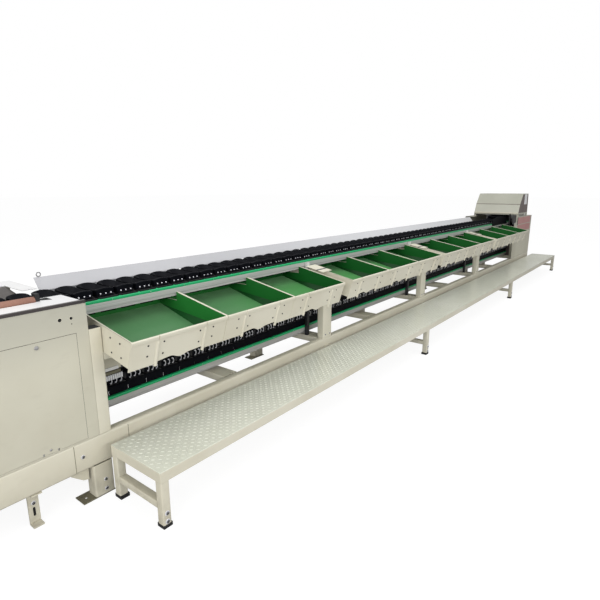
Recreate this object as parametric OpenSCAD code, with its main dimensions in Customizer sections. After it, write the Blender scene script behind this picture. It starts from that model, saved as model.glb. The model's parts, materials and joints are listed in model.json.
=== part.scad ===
// Cup-type fruit grader with outlet trays and a step platform. Millimetres, Z up.
// X runs along the lane from the infeed to the head, and the trays are on the -Y side.
// Places are taken from the infeed cabinet's lane end and the frame's front face, and every
// node is then shifted so that the origin is the middle of the footprint, on the floor.

/* [Lane and chain] */
// Distance between two cups along the chain
cup_pitch = 120; // [114:1:130]
// Cups along one module
module_cups = 16; // [15:1:18]
// Lane centre behind the frame's front face
lane_y = 350; // [340:1:370]
// Height of the head and tail shafts
shaft_z = 725; // [715:1:745]
// Thickness and height of a chain link
link_w = 24; // [18:1:30]
// Gap left between pieces that seat on each other
seat_gap = 0.3; // [0.2:0.1:0.5]
// Thickness of a cup carrier plate
carrier_t = 5.7; // [4:0.1:8]
// Diameter of the pin that a cup tips on
tip_pin_d = 8; // [6:0.5:9]

/* [Cups] */
// Length of a cup along the lane
cup_l = 104; // [90:1:110]
// Width of a cup across the lane
cup_w = 220; // [200:1:230]
// Height of a cup at its humped ends
cup_h = 44; // [38:1:50]
// Height of a cup at its low sides
cup_edge_h = 22; // [16:1:28]
// Radius of the dish in a cup
dish_r = 62; // [58:1:70]
// Thickness of the cup under the dish
dish_floor = 5; // [3:0.5:8]
// Straight middle of the dish
dish_mid = 80; // [60:1:90]

/* [Frame] */
// Depth of the frame from front to rear
frame_d = 850; // [820:1:900]
// Height of the base beams above the floor
beam_z = 180; // [150:1:220]
// Height of a base beam
beam_h = 158; // [140:1:165]
// Width of a base beam
beam_w = 60; // [50:1:70]
// Wall of the frame tubes
tube_wall = 3; // [2:0.5:5]
// How far the main beam reaches under the infeed cabinet
beam_lead = 135; // [110:1:160]
// Width of a post along the lane
post_w = 120; // [100:1:130]
// Depth of a post
post_d = 60; // [50:1:70]
// Height of the top rails
top_rail_h = 40; // [30:1:50]
// Depth of the top rails
top_rail_w = 40; // [30:1:50]
// Width of the slim post beside the infeed cabinet
near_post_w = 65; // [50:1:68]
// Height of the slim post's top
near_post_top = 887; // [860:1:900]
// Height of a cross member
cross_h = 48; // [40:1:60]
// Width of a foot tube along the lane
foot_w = 104; // [90:1:120]
// Depth of a foot tube
foot_d = 76; // [60:1:90]
// Length of a foot plate
plate_l = 170; // [160:1:200]
// Depth of a foot plate
plate_d = 87; // [80:1:100]
// Thickness of a foot plate
plate_t = 6; // [5:0.5:10]
// Diameter of an anchor hole
anchor_d = 14; // [10:0.5:18]

/* [Track] */
// Lane centre to a rail's inner face
track_half = 128; // [122:1:140]
// Width of a track rail
rail_w = 30; // [24:1:36]
// Height of an upper track rail
rail_h = 46; // [38:1:52]
// Height of a lower track rail
low_rail_h = 40; // [30:1:46]
// Height of a guide strip
strip_h = 16; // [12:1:20]
// Height of the upper strip's top over the chain's centre
strip_over = 18; // [16:0.5:22]
// Height of the lower strip's top over the base beam
low_strip_over = 82; // [70:1:95]
// Section of an upright that carries the rails
upright_w = 30; // [24:1:36]

/* [Trays] */
// Start of the first tray group past the infeed cabinet
tray_start = 67; // [66:1:85]
// Gap between two tray groups
tray_gap = 110; // [95:1:130]
// How far the tray rims reach in front of the frame
tray_reach = 245; // [220:1:265]
// Height of the front rim
rim_z = 853; // [843:1:863]
// Drop of the front panel from its rim
face_drop = 138; // [130:1:146]
// How far the front panel's foot lies behind its rim
face_lean = 42; // [30:1:48]
// Sheet thickness of the trays
tray_t = 3; // [2:0.5:4]
// Thickness of the tray liners
liner_t = 4; // [3:0.5:6]
// Reach of the tray floor behind the lane centre
tray_back = 14; // [5:1:25]
// Height of the folded rim
lip_h = 24; // [18:1:30]
// Projection of the folded rim
lip_t = 7; // [4:1:10]
// Width of a stiffening rib
rib_w = 16; // [10:1:22]
// Projection of a stiffening rib
rib_t = 8; // [5:1:11]
// Rib distance from the middle of its compartment
rib_off = 150; // [120:1:180]
// Depth of the skirt below the tray floor
skirt_h = 20; // [12:1:26]

/* [Guard] */
// Start of the guard past the infeed cabinet
guard_start = 16; // [10:1:40]
// Distance that the guard ends before the head cabinet
guard_short = 640; // [500:1:760]
// Height of the guard's bend over the chain's centre
guard_bend = 52; // [50:1:60]
// Run of the sloped guard
guard_run = 55; // [45:1:65]
// Rise of the sloped guard
guard_rise = 66; // [50:1:75]
// Sheet thickness of guard, cabinets and hood
sheet_t = 2; // [1.5:0.5:3]

/* [Infeed cabinet] */
// Length of the infeed cabinet
infeed_l = 1000; // [980:1:1100]
// Height of the deck's underside
deck_z = 1022; // [1015:1:1040]
// Thickness of the deck
deck_t = 4; // [3:0.5:6]
// Height of the bright trim
trim_h = 14; // [10:1:20]
// Margin between the access door and the cabinet's ends
door_margin = 58; // [50:1:80]
// Height of the access door's top
door_top = 886; // [860:1:920]
// Diameter of the singulating roller
roller_d = 40; // [34:1:44]
// Length of the singulating roller
roller_l = 752; // [700:1:760]
// Distance of the roller's end from the cabinet's lane end
roller_end = 148; // [140:1:170]

/* [Head cabinet] */
// Length of the head cabinet
head_l = 1230; // [1200:1:1330]
// Height of the head cabinet's top
head_top = 1047; // [1035:1:1060]
// Start of the hood past the head cabinet's start
hood_start = 182; // [160:1:220]
// Length of the hood's foot
hood_l = 655; // [620:1:700]
// Depth of the hood across the machine
hood_d = 756; // [720:1:780]
// Height of the hood's foot
hood_z = 1107; // [1095:1:1120]
// Height of the hood
hood_h = 343; // [320:1:370]

/* [Drive] */
// Diameter of the head and tail shafts
shaft_d = 50; // [40:1:60]
// Width of a pillow block
block_w = 40; // [30:1:50]
// Length of a pillow block's foot
block_l = 130; // [120:1:150]
// Shaft centre over a pillow block's foot
block_rise = 45; // [42:1:60]
// Thickness of a sprocket
sprocket_t = 12; // [8:1:16]
// Diameter of a sprocket hub
hub_d = 90; // [80:1:110]
// Stroke of a kicker
kick = 14; // [10:0.5:16]

/* [Platform] */
// Start of the platform past the infeed cabinet
plat_start = 20; // [10:1:60]
// Length of one platform section
plat_section = 3000; // [2950:1:3100]
// Depth of the platform
plat_d = 402; // [360:1:440]
// Gap between the platform and the frame
plat_gap = 60; // [40:1:80]
// Height of the platform's top
plat_top = 295; // [270:1:330]
// Thickness of the checker plate
plat_t = 4; // [3:0.5:6]
// Height of the platform's rails
plat_rail_h = 52; // [40:1:60]
// Width of the platform's rails and legs
plat_rail_w = 45; // [35:1:50]
// Height of a rubber pad
pad_h = 20; // [14:1:28]

/* [Hidden] */
$fn = 48;
over = 1;
modules = 4;
outlets = 3;
sections = 3;
tail_cups = 5;
head_cups = 3;
turn_cups = 6;
turn_step = 180 / turn_cups;
half_share = 0.5;

cream = [0.80, 0.78, 0.70];
steel = [0.62, 0.62, 0.63];
alu = [0.70, 0.70, 0.69];
green = [0.06, 0.55, 0.32];
lining = [0.25, 0.52, 0.28];
black = [0.06, 0.06, 0.07];
guard_grey = [0.66, 0.66, 0.67];
brown = [0.55, 0.38, 0.32];
pale_red = [0.72, 0.50, 0.48];
motor_blue = [0.28, 0.34, 0.42];
white = [0.90, 0.90, 0.89];
dark_grey = [0.30, 0.29, 0.29];
checker = [0.76, 0.77, 0.72];

// Layout along the lane
module_l = cup_pitch * module_cups;
head_x = modules * module_l;
tail_x = -(tail_cups + half_share) * cup_pitch;
drive_x = head_x + (head_cups + half_share) * cup_pitch;
strand_cups = tail_cups + head_cups + 1 + modules * module_cups;
machine_end = head_x + head_l;
plat_l = sections * plat_section;
x_low = -infeed_l;
x_high = max(machine_end, plat_start + plat_l);
y_low = -plat_gap - plat_d;
mid_x = (x_low + x_high) / 2;
mid_y = (y_low + frame_d) / 2;

// Heights of the chain, the strips and the rails
turn_r = cup_pitch * turn_cups / PI;
chain_z = shaft_z + turn_r;
beam_top = beam_z + beam_h;
strip_z = chain_z + strip_over;
rail_z = strip_z - strip_h - rail_h;
low_strip_z = beam_top + low_strip_over;
low_rail_z = low_strip_z - strip_h - low_rail_h;
rail_front = lane_y - track_half - rail_w;
rail_back = lane_y + track_half + rail_w;
track_tail = tail_x + cup_pitch + tip_pin_d;

// Cup carrier, measured from the chain's centre
carrier_z = strip_over + seat_gap;
carrier_over = 20;
carrier_half = track_half + carrier_over;
cup_z = carrier_z + carrier_t + seat_gap;
pin_r = tip_pin_d / 2;
pin_clear = 0.06;
lug_wall = 1.6;
lug_r = pin_r + lug_wall;
pin_z = carrier_z + carrier_t + lug_r + seat_gap + pin_clear;
pin_y = -cup_w / 2 - tip_pin_d;
ear_t = 6;
ear_share = 0.625;
ear_half = tip_pin_d * ear_share;
ear_x = 36;
lug_half = 34;
neck_l = 40;
neck_w = 16;
link_gap = 0.3;
link_in = 1.8;
link_out = 1;
link_mid = link_w / 5;
tail_t = 5;
tail_l = 14;
tail_w = 24;
tail_z = cup_z + cup_h * half_share;

guard_low = rail_z + rail_h / 3;

// Kicker and solenoid at each outlet
finger_t = 5;
finger_w = 18;
kick_gap = 3;
finger_z = chain_z + tail_z - kick_gap - kick - finger_t;
finger_clear = 3;
sol_w = 40;
sol_h = 60;
rod_r = 5;
rod_grip = 22;
window_w = 40;

// Tray outline in Y and Z
group_l = module_l - tray_gap;
cell_l = group_l / outlets;
foot_y = -tray_reach + face_lean;
foot_z = rim_z - face_drop;
floor_slope_share = 0.2033;
back_y = lane_y + tray_back;
under_rail = 30;
back_top = rail_z - under_rail;
hang_z = rail_z + rail_h * half_share;
face_tilt = atan(face_lean / face_drop);
face_l = sqrt(face_lean ^ 2 + face_drop ^ 2);
rib_foot = 12;
tab_h = 10;
wave_n_shares = [0, 0.3, 0.5, 0.72, 1];
wave_h_shares = [0.35, 0.0, 1.0, 0.35, 0.2];
panel_gap = 0.1;
function floor_z(y) = foot_z + (y - foot_y) * floor_slope_share;
post_top = floor_z(0) - seat_gap - top_rail_h;

// Stations of posts, feet and cross members along the lane
post_lead = 78;
function post_x(k) = k * module_l + tray_start - tray_gap / 2 + post_lead;
upright_x_off = -post_w / 2 + upright_w / 2;
near_foot_x = 2;
end_foot_in = 90;
foot_xs = concat([near_foot_x], [for (k = [1 : modules - 1]) post_x(k)],
                 [head_x + end_foot_in, machine_end - end_foot_in]);
cross_xs = concat([tail_x, near_foot_x], [for (k = [1 : modules - 1]) post_x(k)],
                  [for (k = [0 : modules - 1]) (k + half_share) * module_l], [drive_x]);
level_share = 0.322;
level_xs = [-infeed_l + end_foot_in, -infeed_l * level_share];

// Levelling feet
level_w = 48;
level_t = 5;
level_drop = 165;
level_slot_w = 12;
level_slot_low = 32;
level_slot_l = 67;
level_foot_d = 45;
level_in = 55;
level_foot_t = 8;

// Cabinets
door_gap = 1.5;
sill_h = 8;
door_low = beam_top + sill_h;
hinge_r = 3;
hinge_y = 6;
hinge_z = door_low + hinge_y;
knuckle_r = 5.5;
knuckle_l = 60;
hinge_ear_t = 6;
hinge_share = 0.2;
roller_in = 4;
roller_over = 8;
roller_y = rail_front - roller_in;
roller_z = deck_z + roller_over;
axle_r = 8;
axle_room = 1;
roller_block_l = 20;
roller_block_w = 36;
roller_block_h = 44;
deck_front_d = 164;
lane_slot_front = 115;
lane_slot_back = 141;
deck_lane_front = lane_y - lane_slot_front;
deck_lane_back = lane_y + lane_slot_back;
deck_right_l = 77;
chute_back = 702;
chute_front = 512;
chute_drop = 30;
trim_d = 14;
trim_face_t = 3;
trim_under = 1;

// Head cabinet, hood and drive
top_flange = 40;
rear_flange = 150;
leg_w = 20;
louvres = 3;
louvre_h = 8;
louvre_in = 30;
window_low = 955;
window_l = 213;
hood_bend_in = 78;
hood_bend_h = 163;
hood_top_in = 238;
hood_back_in = 37;
hood_pin_r = 6;
hood_knuckle_r = 10;
hood_knuckle_l = 80;
hood_ear_t = 8;
strap_w = 22;
strap_t = 3;
strap_seat = 6;
strap_low = 915;
strap_y = 120;
plate_in = 12;
plate_end_in = 90;
red_h = 116;
red_gap = 14;
red_top_in = 8;
stand_w = 80;
stand_d = 50;
block_in = 85;
gear_l = 160;
gear_share = 0.5;
gear_h = 200;
motor_share = 0.63;
motor_l = 260;
arm_t = 10;
arm_w = 40;
shaft_clear = 0.05;
hub_l = 60;
lighten_n = 6;
lighten_r = 45;
lighten_share = 0.6;

// Weigh bridge
bridge_x = 130;
bridge_l = 210;
bridge_t = 8;
cell_w = 40;
cell_h = 16;
blade_t = 4;
blade_off = 70;

// Platform and fasteners
plat_cross_w = 40;
rung_z = 95;
rung_h = 36;
rung_w = 44;
tie_w = 50;
tie_t = 6;
tie_h = 40;
pad_extra = 5;
bolt_r = 8;
bolt_h = 6;
screw_r = 6;
screw_h = 4;
eye_r = 14;
eye_wire = 3;
foot_bolt_shares = [0.15, 0.45];
foot_bolt_off = 6;
post_bolt_shares = [0.08, 0.9];
seam_bolt_share = 0.7;
level_bolt_share = 0.424;

// Shared shapes

// Moves a piece from the working datum to the part's frame.
module placed() { translate([-mid_x, -mid_y, 0]) children(); }

// A box given by its low and high corners.
module span(a, b) { translate(a) cube(b - a); }

// A rectangular tube along X, open at both ends.
module tube_x(a, b, wall) {
  difference() {
    span(a, b);
    span([a[0] - over, a[1] + wall, a[2] + wall], [b[0] + over, b[1] - wall, b[2] - wall]);
  }
}

// A rectangular tube along Y, open at both ends.
module tube_y(a, b, wall) {
  difference() {
    span(a, b);
    span([a[0] + wall, a[1] - over, a[2] + wall], [b[0] - wall, b[1] + over, b[2] - wall]);
  }
}

// A rectangular tube along Z, open at both ends.
module tube_z(a, b, wall) {
  difference() {
    span(a, b);
    span([a[0] + wall, a[1] + wall, a[2] - over], [b[0] - wall, b[1] - wall, b[2] + over]);
  }
}

// An outline in Y and Z carried along X from x0 to x1.
module along_x(x0, x1, points) {
  translate([x0, 0, 0]) rotate([90, 0, 90]) linear_extrude(x1 - x0) polygon(points);
}

// An outline in X and Z carried along Y from y0 to y1.
module along_y(y0, y1, points) {
  translate([0, y1, 0]) rotate([90, 0, 0]) linear_extrude(y1 - y0) polygon(points);
}

// A round bar along X.
module bar_x(x0, x1, y, z, r) { translate([x0, y, z]) rotate([0, 90, 0]) cylinder(h = x1 - x0, r = r); }

// A round bar along Y.
module bar_y(y0, y1, x, z, r) { translate([x, y0, z]) rotate([-90, 0, 0]) cylinder(h = y1 - y0, r = r); }

// A hexagon head on a face that looks towards -Y.
module hex_front(x, y, z, r, h) { translate([x, y, z]) rotate([90, 0, 0]) cylinder(h = h, r = r, $fn = 6); }

// Places children at both sides of the frame: front as drawn, rear mirrored.
module both_sides() {
  children();
  translate([0, frame_d, 0]) mirror([0, 1, 0]) children();
}

// Frame

module base_beams() color(cream) placed() both_sides() {
  tube_x([-beam_lead, 0, beam_z], [machine_end, beam_w, beam_top], tube_wall);
  tube_x([-infeed_l, 0, beam_z], [-beam_lead - seat_gap, beam_w, beam_top], tube_wall);
}

module cross_members() color(cream) placed() for (x = cross_xs)
  tube_y([x - post_w / 2, beam_w, beam_top - cross_h],
         [x + post_w / 2, frame_d - beam_w, beam_top], tube_wall);

module frame_posts() color(cream) placed() both_sides() {
  tube_z([0, 0, beam_top], [near_post_w, post_d, near_post_top], tube_wall);
  for (k = [1 : modules - 1])
    tube_z([post_x(k) - post_w / 2, 0, beam_top], [post_x(k) + post_w / 2, post_d, post_top], tube_wall);
}

module top_rails() color(cream) placed() both_sides()
  tube_x([near_post_w, 0, post_top], [head_x, top_rail_w, post_top + top_rail_h], tube_wall);

module foot_tubes() color(cream) placed() both_sides() for (x = foot_xs)
  tube_z([x - foot_w / 2, 0, plate_t], [x + foot_w / 2, foot_d, beam_z], tube_wall);

module foot_plates() color(steel) placed() both_sides() for (x = foot_xs) difference() {
  span([x + foot_w / 2 - plate_l, 0, 0], [x + foot_w / 2, plate_d, plate_t]);
  translate([anchor_x(x), plate_d / 2, -over]) cylinder(h = plate_t + over * 2, d = anchor_d);
}
function anchor_x(x) = x - foot_w / 2 - (plate_l - foot_w) / 2;

module levelling_feet() color(cream) placed() both_sides() for (x = level_xs) {
  difference() {
    union() {
      span([x - level_w / 2, level_in, beam_z - level_drop], [x + level_w / 2, level_in + level_t, beam_z]);
      span([x - level_w / 2, 0, beam_z - level_t], [x + level_w / 2, beam_w, beam_z]);
    }
    for (z = [level_slot_low, level_slot_l])
      bar_y(level_in - over, level_in + level_t + over, x, beam_z - level_drop + z, level_slot_w / 2);
    span([x - level_slot_w / 2, level_in - over, beam_z - level_drop + level_slot_low],
         [x + level_slot_w / 2, level_in + level_t + over, beam_z - level_drop + level_slot_l]);
  }
  union() {
    span([x - level_w / 2, level_in + level_t, 0],
         [x + level_w / 2, level_in + level_t * 2, beam_z - level_t * 2]);
    span([x - level_w / 2, level_in + level_t * 2 - level_foot_d, 0],
         [x + level_w / 2, level_in + level_t * 2, level_foot_t]);
  }
}

module rail_uprights() color(cream) placed() for (k = [1 : modules - 1]) {
  x = post_x(k) + upright_x_off;
  difference() {
    for (y = [rail_front - upright_w, rail_back])
      tube_z([x - upright_w / 2, y, beam_top],
             [x + upright_w / 2, y + upright_w, strip_z - strip_h], tube_wall);
    // Seat of the guard plate
    span([x - upright_w, rail_back - over, guard_low - seat_gap],
         [x + upright_w, rail_back + sheet_t, strip_z]);
  }
}

// Track

module track_rails() color(alu) placed() for (y = [rail_front, rail_back - rail_w]) {
  rail_bar(track_tail, drive_x, y, rail_z, rail_h);
  rail_bar(tail_x, drive_x, y, low_rail_z, low_rail_h);
}

// A rail section with a slot along its underside.
module rail_bar(x0, x1, y, z, h) difference() {
  span([x0, y, z], [x1, y + rail_w, z + h]);
  span([x0 - over, y + rail_w / 3, z - over], [x1 + over, y + rail_w * 2 / 3, z + h / 3]);
}

module guide_strips() color(green) placed() for (y = [rail_front, rail_back - rail_w]) {
  span([track_tail, y, strip_z - strip_h], [drive_x, y + rail_w, strip_z]);
  span([tail_x, y, low_strip_z - strip_h], [drive_x, y + rail_w, low_strip_z]);
}

// Trays

// Just behind the front panel.
function panel_y(y) = y + tray_t + panel_gap;

// Outline of an end plate or divider, inside the front panel, floor and back.
wall_points = [[panel_y(-tray_reach), rim_z],
               [panel_y(foot_y), floor_z(panel_y(foot_y)) + tray_t + panel_gap],
               [back_y - panel_gap, floor_z(back_y) + tray_t + panel_gap], [back_y - panel_gap, back_top],
               [rail_front, back_top], [rail_front, hang_z]];

// One tray group of three compartments, its panels screwed together.
module tray_group(k) {
  x0 = tray_start + (k - 1) * module_l;
  placed() {
    tray_front(x0);
    along_x(x0, x0 + group_l,
            [[panel_y(foot_y), floor_z(panel_y(foot_y))], [back_y - panel_gap, floor_z(back_y)],
             [back_y - panel_gap, floor_z(back_y) + tray_t],
             [panel_y(foot_y), floor_z(panel_y(foot_y)) + tray_t]]);
    span([x0, back_y, floor_z(back_y)], [x0 + group_l, back_y + tray_t, back_top]);
    for (c = [0 : outlets]) {
      x = x0 + c * (group_l - tray_t) / outlets;
      along_x(x, x + tray_t, wall_points);
    }
  }
}

// Front panel with its folded rim, ribs, skirt and tabs, drawn in the plane of the leaning face.
module tray_front(x0) translate([x0, -tray_reach, rim_z]) rotate([face_tilt, 0, 0]) {
  t = tray_t * cos(face_tilt);
  along_x(0, group_l, [[0, 0], [0, -face_l], [t, -face_l], [t, 0]]);
  span([0, -lip_t, -lip_h], [group_l, 0, 0]);
  for (c = [0 : outlets - 1]) {
    m = (c + half_share) * cell_l;
    for (s = [-1, 1]) span([m + s * rib_off - rib_w / 2, -rib_t, -face_l - skirt_h - tab_h],
                           [m + s * rib_off + rib_w / 2, 0, -lip_h - rib_foot]);
    span([c * cell_l, 0, -face_l - skirt_h], [m - rib_off, tray_t, -face_l]);
    span([m + rib_off, 0, -face_l - skirt_h], [(c + 1) * cell_l, tray_t, -face_l]);
    along_y(0, tray_t, concat([[m - rib_off, -face_l], [m + rib_off, -face_l]],
            [for (i = [len(wave_n_shares) - 1 : -1 : 0])
             [m - rib_off + wave_n_shares[i] * rib_off * 2, -face_l - over - wave_h_shares[i] * skirt_h]]));
  }
}

// Three green liners in one tray group.
module liner_group(k) {
  x0 = tray_start + (k - 1) * module_l;
  placed() for (c = [0 : outlets - 1]) {
    a = x0 + c * (group_l - tray_t) / outlets + tray_t + seat_gap;
    b = x0 + (c + 1) * (group_l - tray_t) / outlets - seat_gap;
    difference() {
      along_x(a, b, liner_points(seat_gap));
      along_x(a + liner_t, b - liner_t, concat(
        [for (i = [0 : 2]) liner_points(seat_gap + liner_t)[i]],
        [[back_y - seat_gap - liner_t, rim_z + face_drop],
         [-tray_reach + tray_t + seat_gap + liner_t, rim_z + face_drop]]));
    }
  }
}

// The wall outline drawn in by a distance, below the rim.
function liner_points(g) = [
  [-tray_reach + tray_t * (1 + face_lean / face_drop) + g, rim_z - tray_t],
  [foot_y + tray_t + g, floor_z(foot_y + tray_t + g) + tray_t + g],
  [back_y - g, floor_z(back_y - g) + tray_t + g], [back_y - g, back_top], [rail_front - g, back_top],
  [rail_front - g, hang_z - tray_t * 2]];

module tray_body_1() color(cream) tray_group(1);
module tray_body_2() color(cream) tray_group(2);
module tray_body_3() color(cream) tray_group(3);
module tray_body_4() color(cream) tray_group(4);
module tray_liner_1() color(lining) liner_group(1);
module tray_liner_2() color(lining) liner_group(2);
module tray_liner_3() color(lining) liner_group(3);
module tray_liner_4() color(lining) liner_group(4);

// Chain, cups and kickers

// A chain link with its cup carrier and tipping pin, centred on the chain.
module link() {
  half = cup_pitch / 2 - link_gap;
  along_y(-link_w / 2, link_w / 2,
          [[-half + link_in, -link_w / 2], [half - link_in, -link_w / 2], [half, -link_mid], [half, link_mid],
           [half - link_out, link_w / 2], [-half + link_out, link_w / 2],
           [-half, link_mid], [-half, -link_mid]]);
  span([-neck_l / 2, -neck_w / 2, 0], [neck_l / 2, neck_w / 2, carrier_z + carrier_t / 2]);
  span([-cup_l / 2, -carrier_half, carrier_z], [cup_l / 2, carrier_half, carrier_z + carrier_t]);
  for (s = [-1, 1]) span([s * (ear_x + ear_t / 2) - ear_t / 2, pin_y - ear_half, carrier_z + carrier_t / 2],
                         [s * (ear_x + ear_t / 2) + ear_t / 2, pin_y + ear_half, pin_z + ear_half]);
  bar_x(-ear_x - ear_t, ear_x + ear_t, pin_y, pin_z, pin_r);
}

// A cup: a humped block with a dish, a lug that turns on the carrier's pin, and a tail.
module cup() {
  arch_r = ((cup_l / 2) ^ 2 + (cup_h - cup_edge_h) ^ 2) / (2 * (cup_h - cup_edge_h));
  difference() {
    union() {
      intersection() {
        span([-cup_l / 2, -cup_w / 2, cup_z], [cup_l / 2, cup_w / 2, cup_z + cup_h]);
        bar_y(-cup_w, cup_w, 0, cup_z + cup_h - arch_r, arch_r);
      }
      bar_x(-lug_half, lug_half, pin_y, pin_z, lug_r);
      span([-lug_half, pin_y, pin_z], [lug_half, -cup_w / 2 + tip_pin_d / 2, pin_z + lug_r]);
      span([-tail_w / 2, cup_w / 2 - tip_pin_d, tail_z], [tail_w / 2, cup_w / 2 + tail_l, tail_z + tail_t]);
    }
    bar_x(-cup_l, cup_l, pin_y, pin_z, pin_r + pin_clear);
    translate([0, 0, cup_z + dish_floor + dish_r]) {
      bar_y(-dish_mid / 2, dish_mid / 2, 0, 0, dish_r);
      for (s = [-1, 1]) translate([0, s * dish_mid / 2, 0]) sphere(r = dish_r);
    }
  }
}

// Place of cup i on a straight strand; turn 0 is the upper strand and 180 the lower one.
module on_strand(i, turn) translate([tail_x + (i + half_share) * cup_pitch, lane_y, shaft_z])
  rotate([0, turn, 0]) translate([0, 0, turn_r]) children();

// Place of cup j on the turn about a shaft; start is 0 at the head and 180 at the tail.
module on_turn(x, j, start) translate([x, lane_y, shaft_z])
  rotate([0, start + (j + half_share) * turn_step, 0]) translate([0, 0, turn_r]) children();

// Cup that stands at outlet c of the first module.
function outlet_x(k, c) = tray_start + k * module_l + (c + half_share) * cell_l;
function cup_at(x) = round((x - tail_x) / cup_pitch - half_share);
function cup_x(i) = tail_x + (i + half_share) * cup_pitch;
tip_cups = [for (c = [0 : outlets - 1]) cup_at(outlet_x(0, c))];

module upper_links() color(steel) placed() for (i = [0 : strand_cups - 1]) on_strand(i, 0) link();
module lower_links() color(steel) placed() for (i = [0 : strand_cups - 1]) on_strand(i, 180) link();
module head_links() color(steel) placed() for (j = [0 : turn_cups - 1]) on_turn(drive_x, j, 0) link();
module tail_links() color(steel) placed() for (j = [0 : turn_cups - 1]) on_turn(tail_x, j, 180) link();
module upper_cups() color(black) placed() for (i = [0 : strand_cups - 1])
  if (len(search(i, tip_cups)) == 0) on_strand(i, 0) cup();
module lower_cups() color(black) placed() for (i = [0 : strand_cups - 1]) on_strand(i, 180) cup();
module head_turn_cups() color(black) placed() for (j = [0 : turn_cups - 1]) on_turn(drive_x, j, 0) cup();
module tail_turn_cups() color(black) placed() for (j = [0 : turn_cups - 1]) on_turn(tail_x, j, 180) cup();
module tip_cup_1() color(black) placed() on_strand(tip_cups[0], 0) cup();
module tip_cup_2() color(black) placed() on_strand(tip_cups[1], 0) cup();
module tip_cup_3() color(black) placed() on_strand(tip_cups[2], 0) cup();

// Where the kicker of outlet c of module k stands.
function kick_x(k, c) = cup_x(cup_at(outlet_x(k, c)));
// Solenoids sit on the guard plate, or straight on the rail past its end.
function sol_y(k, c) = rail_back + (kick_x(k, c) + window_w / 2 < head_x - guard_short ? sheet_t : 0);
function rod_y(k, c) = sol_y(k, c) + sol_w / 2;
sol_top = finger_z - kick * half_share;

// A kicker: the solenoid's rod with a finger under the passing cups' tails.
module kicker(k, c) {
  translate([kick_x(k, c), rod_y(k, c), sol_top - rod_grip])
    cylinder(h = finger_z - sol_top + rod_grip + finger_t / 2, r = rod_r);
  span([kick_x(k, c) - finger_w / 2, lane_y + cup_w / 2 + finger_clear, finger_z],
       [kick_x(k, c) + finger_w / 2, rod_y(k, c) + rod_r * 2, finger_z + finger_t]);
}

module kicker_1() color(steel) placed() kicker(0, 0);
module kicker_2() color(steel) placed() kicker(0, 1);
module kicker_3() color(steel) placed() kicker(0, 2);

module solenoids() placed() for (k = [0 : modules - 1], c = [0 : outlets - 1]) {
  color(motor_blue) difference() {
    span([kick_x(k, c) - sol_w / 2, sol_y(k, c), sol_top - sol_h],
         [kick_x(k, c) + sol_w / 2, sol_y(k, c) + sol_w, sol_top]);
    translate([kick_x(k, c), rod_y(k, c), sol_top - rod_grip - kick * half_share])
      cylinder(h = rod_grip + kick, r = rod_r + pin_clear);
  }
  if (k > 0) color(steel) kicker(k, c);
}

module weigh_bridge() color(steel) placed() {
  low = rail_z + seat_gap;
  span([bridge_x, lane_y - track_half, low], [bridge_x + bridge_l, lane_y + track_half, low + bridge_t]);
  span([bridge_x + bridge_t, lane_y - cell_w / 2, low + bridge_t],
       [bridge_x + bridge_l - bridge_t, lane_y + cell_w / 2, low + bridge_t + cell_h]);
  for (s = [-1, 1]) span([bridge_x, lane_y + s * blade_off - blade_t / 2, low + bridge_t],
                         [bridge_x + bridge_l, lane_y + s * blade_off + blade_t / 2, strip_z]);
}

// Guard

module guard_plate() color(guard_grey) placed() {
  bend_z = chain_z + guard_bend;
  slant = atan(guard_run / guard_rise);
  difference() {
    along_x(guard_start, head_x - guard_short,
            [[rail_back, guard_low], [rail_back + sheet_t, guard_low],
             [rail_back + sheet_t, bend_z - sheet_t * tan(slant / 2)],
             [rail_back + guard_run + sheet_t * cos(slant), bend_z + guard_rise - sheet_t * sin(slant)],
             [rail_back + guard_run, bend_z + guard_rise], [rail_back, bend_z]]);
    for (k = [0 : modules - 1], c = [0 : outlets - 1])
      span([kick_x(k, c) - window_w / 2, rail_back - over, finger_z - finger_clear],
           [kick_x(k, c) + window_w / 2, rail_back + sheet_t + over, bend_z - seat_gap * 2]);
  }
}

module guard_eye() color(steel) placed()
  translate([guard_start + eye_r * 2, rail_back + guard_run, chain_z + guard_bend + guard_rise + eye_r])
  rotate([90, 0, 0]) rotate_extrude() translate([eye_r - eye_wire, 0]) circle(r = eye_wire);

// Infeed cabinet

module infeed_shell() color(cream) placed() {
  difference() {
    span([-infeed_l, 0, beam_top], [0, sheet_t, deck_z]);
    span([-infeed_l + door_margin, -over, door_low - door_gap], [-door_margin, sheet_t + over, door_top]);
  }
  span([-infeed_l, sheet_in, beam_top], [-infeed_l + sheet_t, frame_d - sheet_in, deck_z]);
  span([-infeed_l, frame_d - sheet_t, beam_top], [0, frame_d, deck_z]);
}
sheet_in = sheet_t + panel_gap;

// Where the two hinges of the access door stand.
door_l = infeed_l - door_margin * 2;
door_hinges = [-door_margin - door_l * hinge_share, -door_margin - door_l * (1 - hinge_share)];

module access_door() color(cream) placed() difference() {
  union() {
    span([-infeed_l + door_margin + door_gap, 0, door_low],
         [-door_margin - door_gap, sheet_t, door_top - door_gap]);
    for (x = door_hinges) {
      bar_x(x - knuckle_l / 2, x + knuckle_l / 2, hinge_y, hinge_z, knuckle_r);
      span([x - knuckle_l / 2, sheet_t / 2, hinge_z], [x + knuckle_l / 2, hinge_y, hinge_z + knuckle_r]);
    }
  }
  for (x = door_hinges) bar_x(x - knuckle_l, x + knuckle_l, hinge_y, hinge_z, hinge_r + pin_clear);
  // Notches for the hinge ears, which the lower edge would meet as the door swings
  for (x = door_hinges, s = [-1, 1]) {
    near = x + s * (knuckle_l / 2 + seat_gap / 2);
    far = x + s * (knuckle_l / 2 + seat_gap + hinge_ear_t + door_gap);
    span([min(near, far), -over, door_low - over], [max(near, far), sheet_t + over, hinge_z + knuckle_r]);
  }
}

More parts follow.
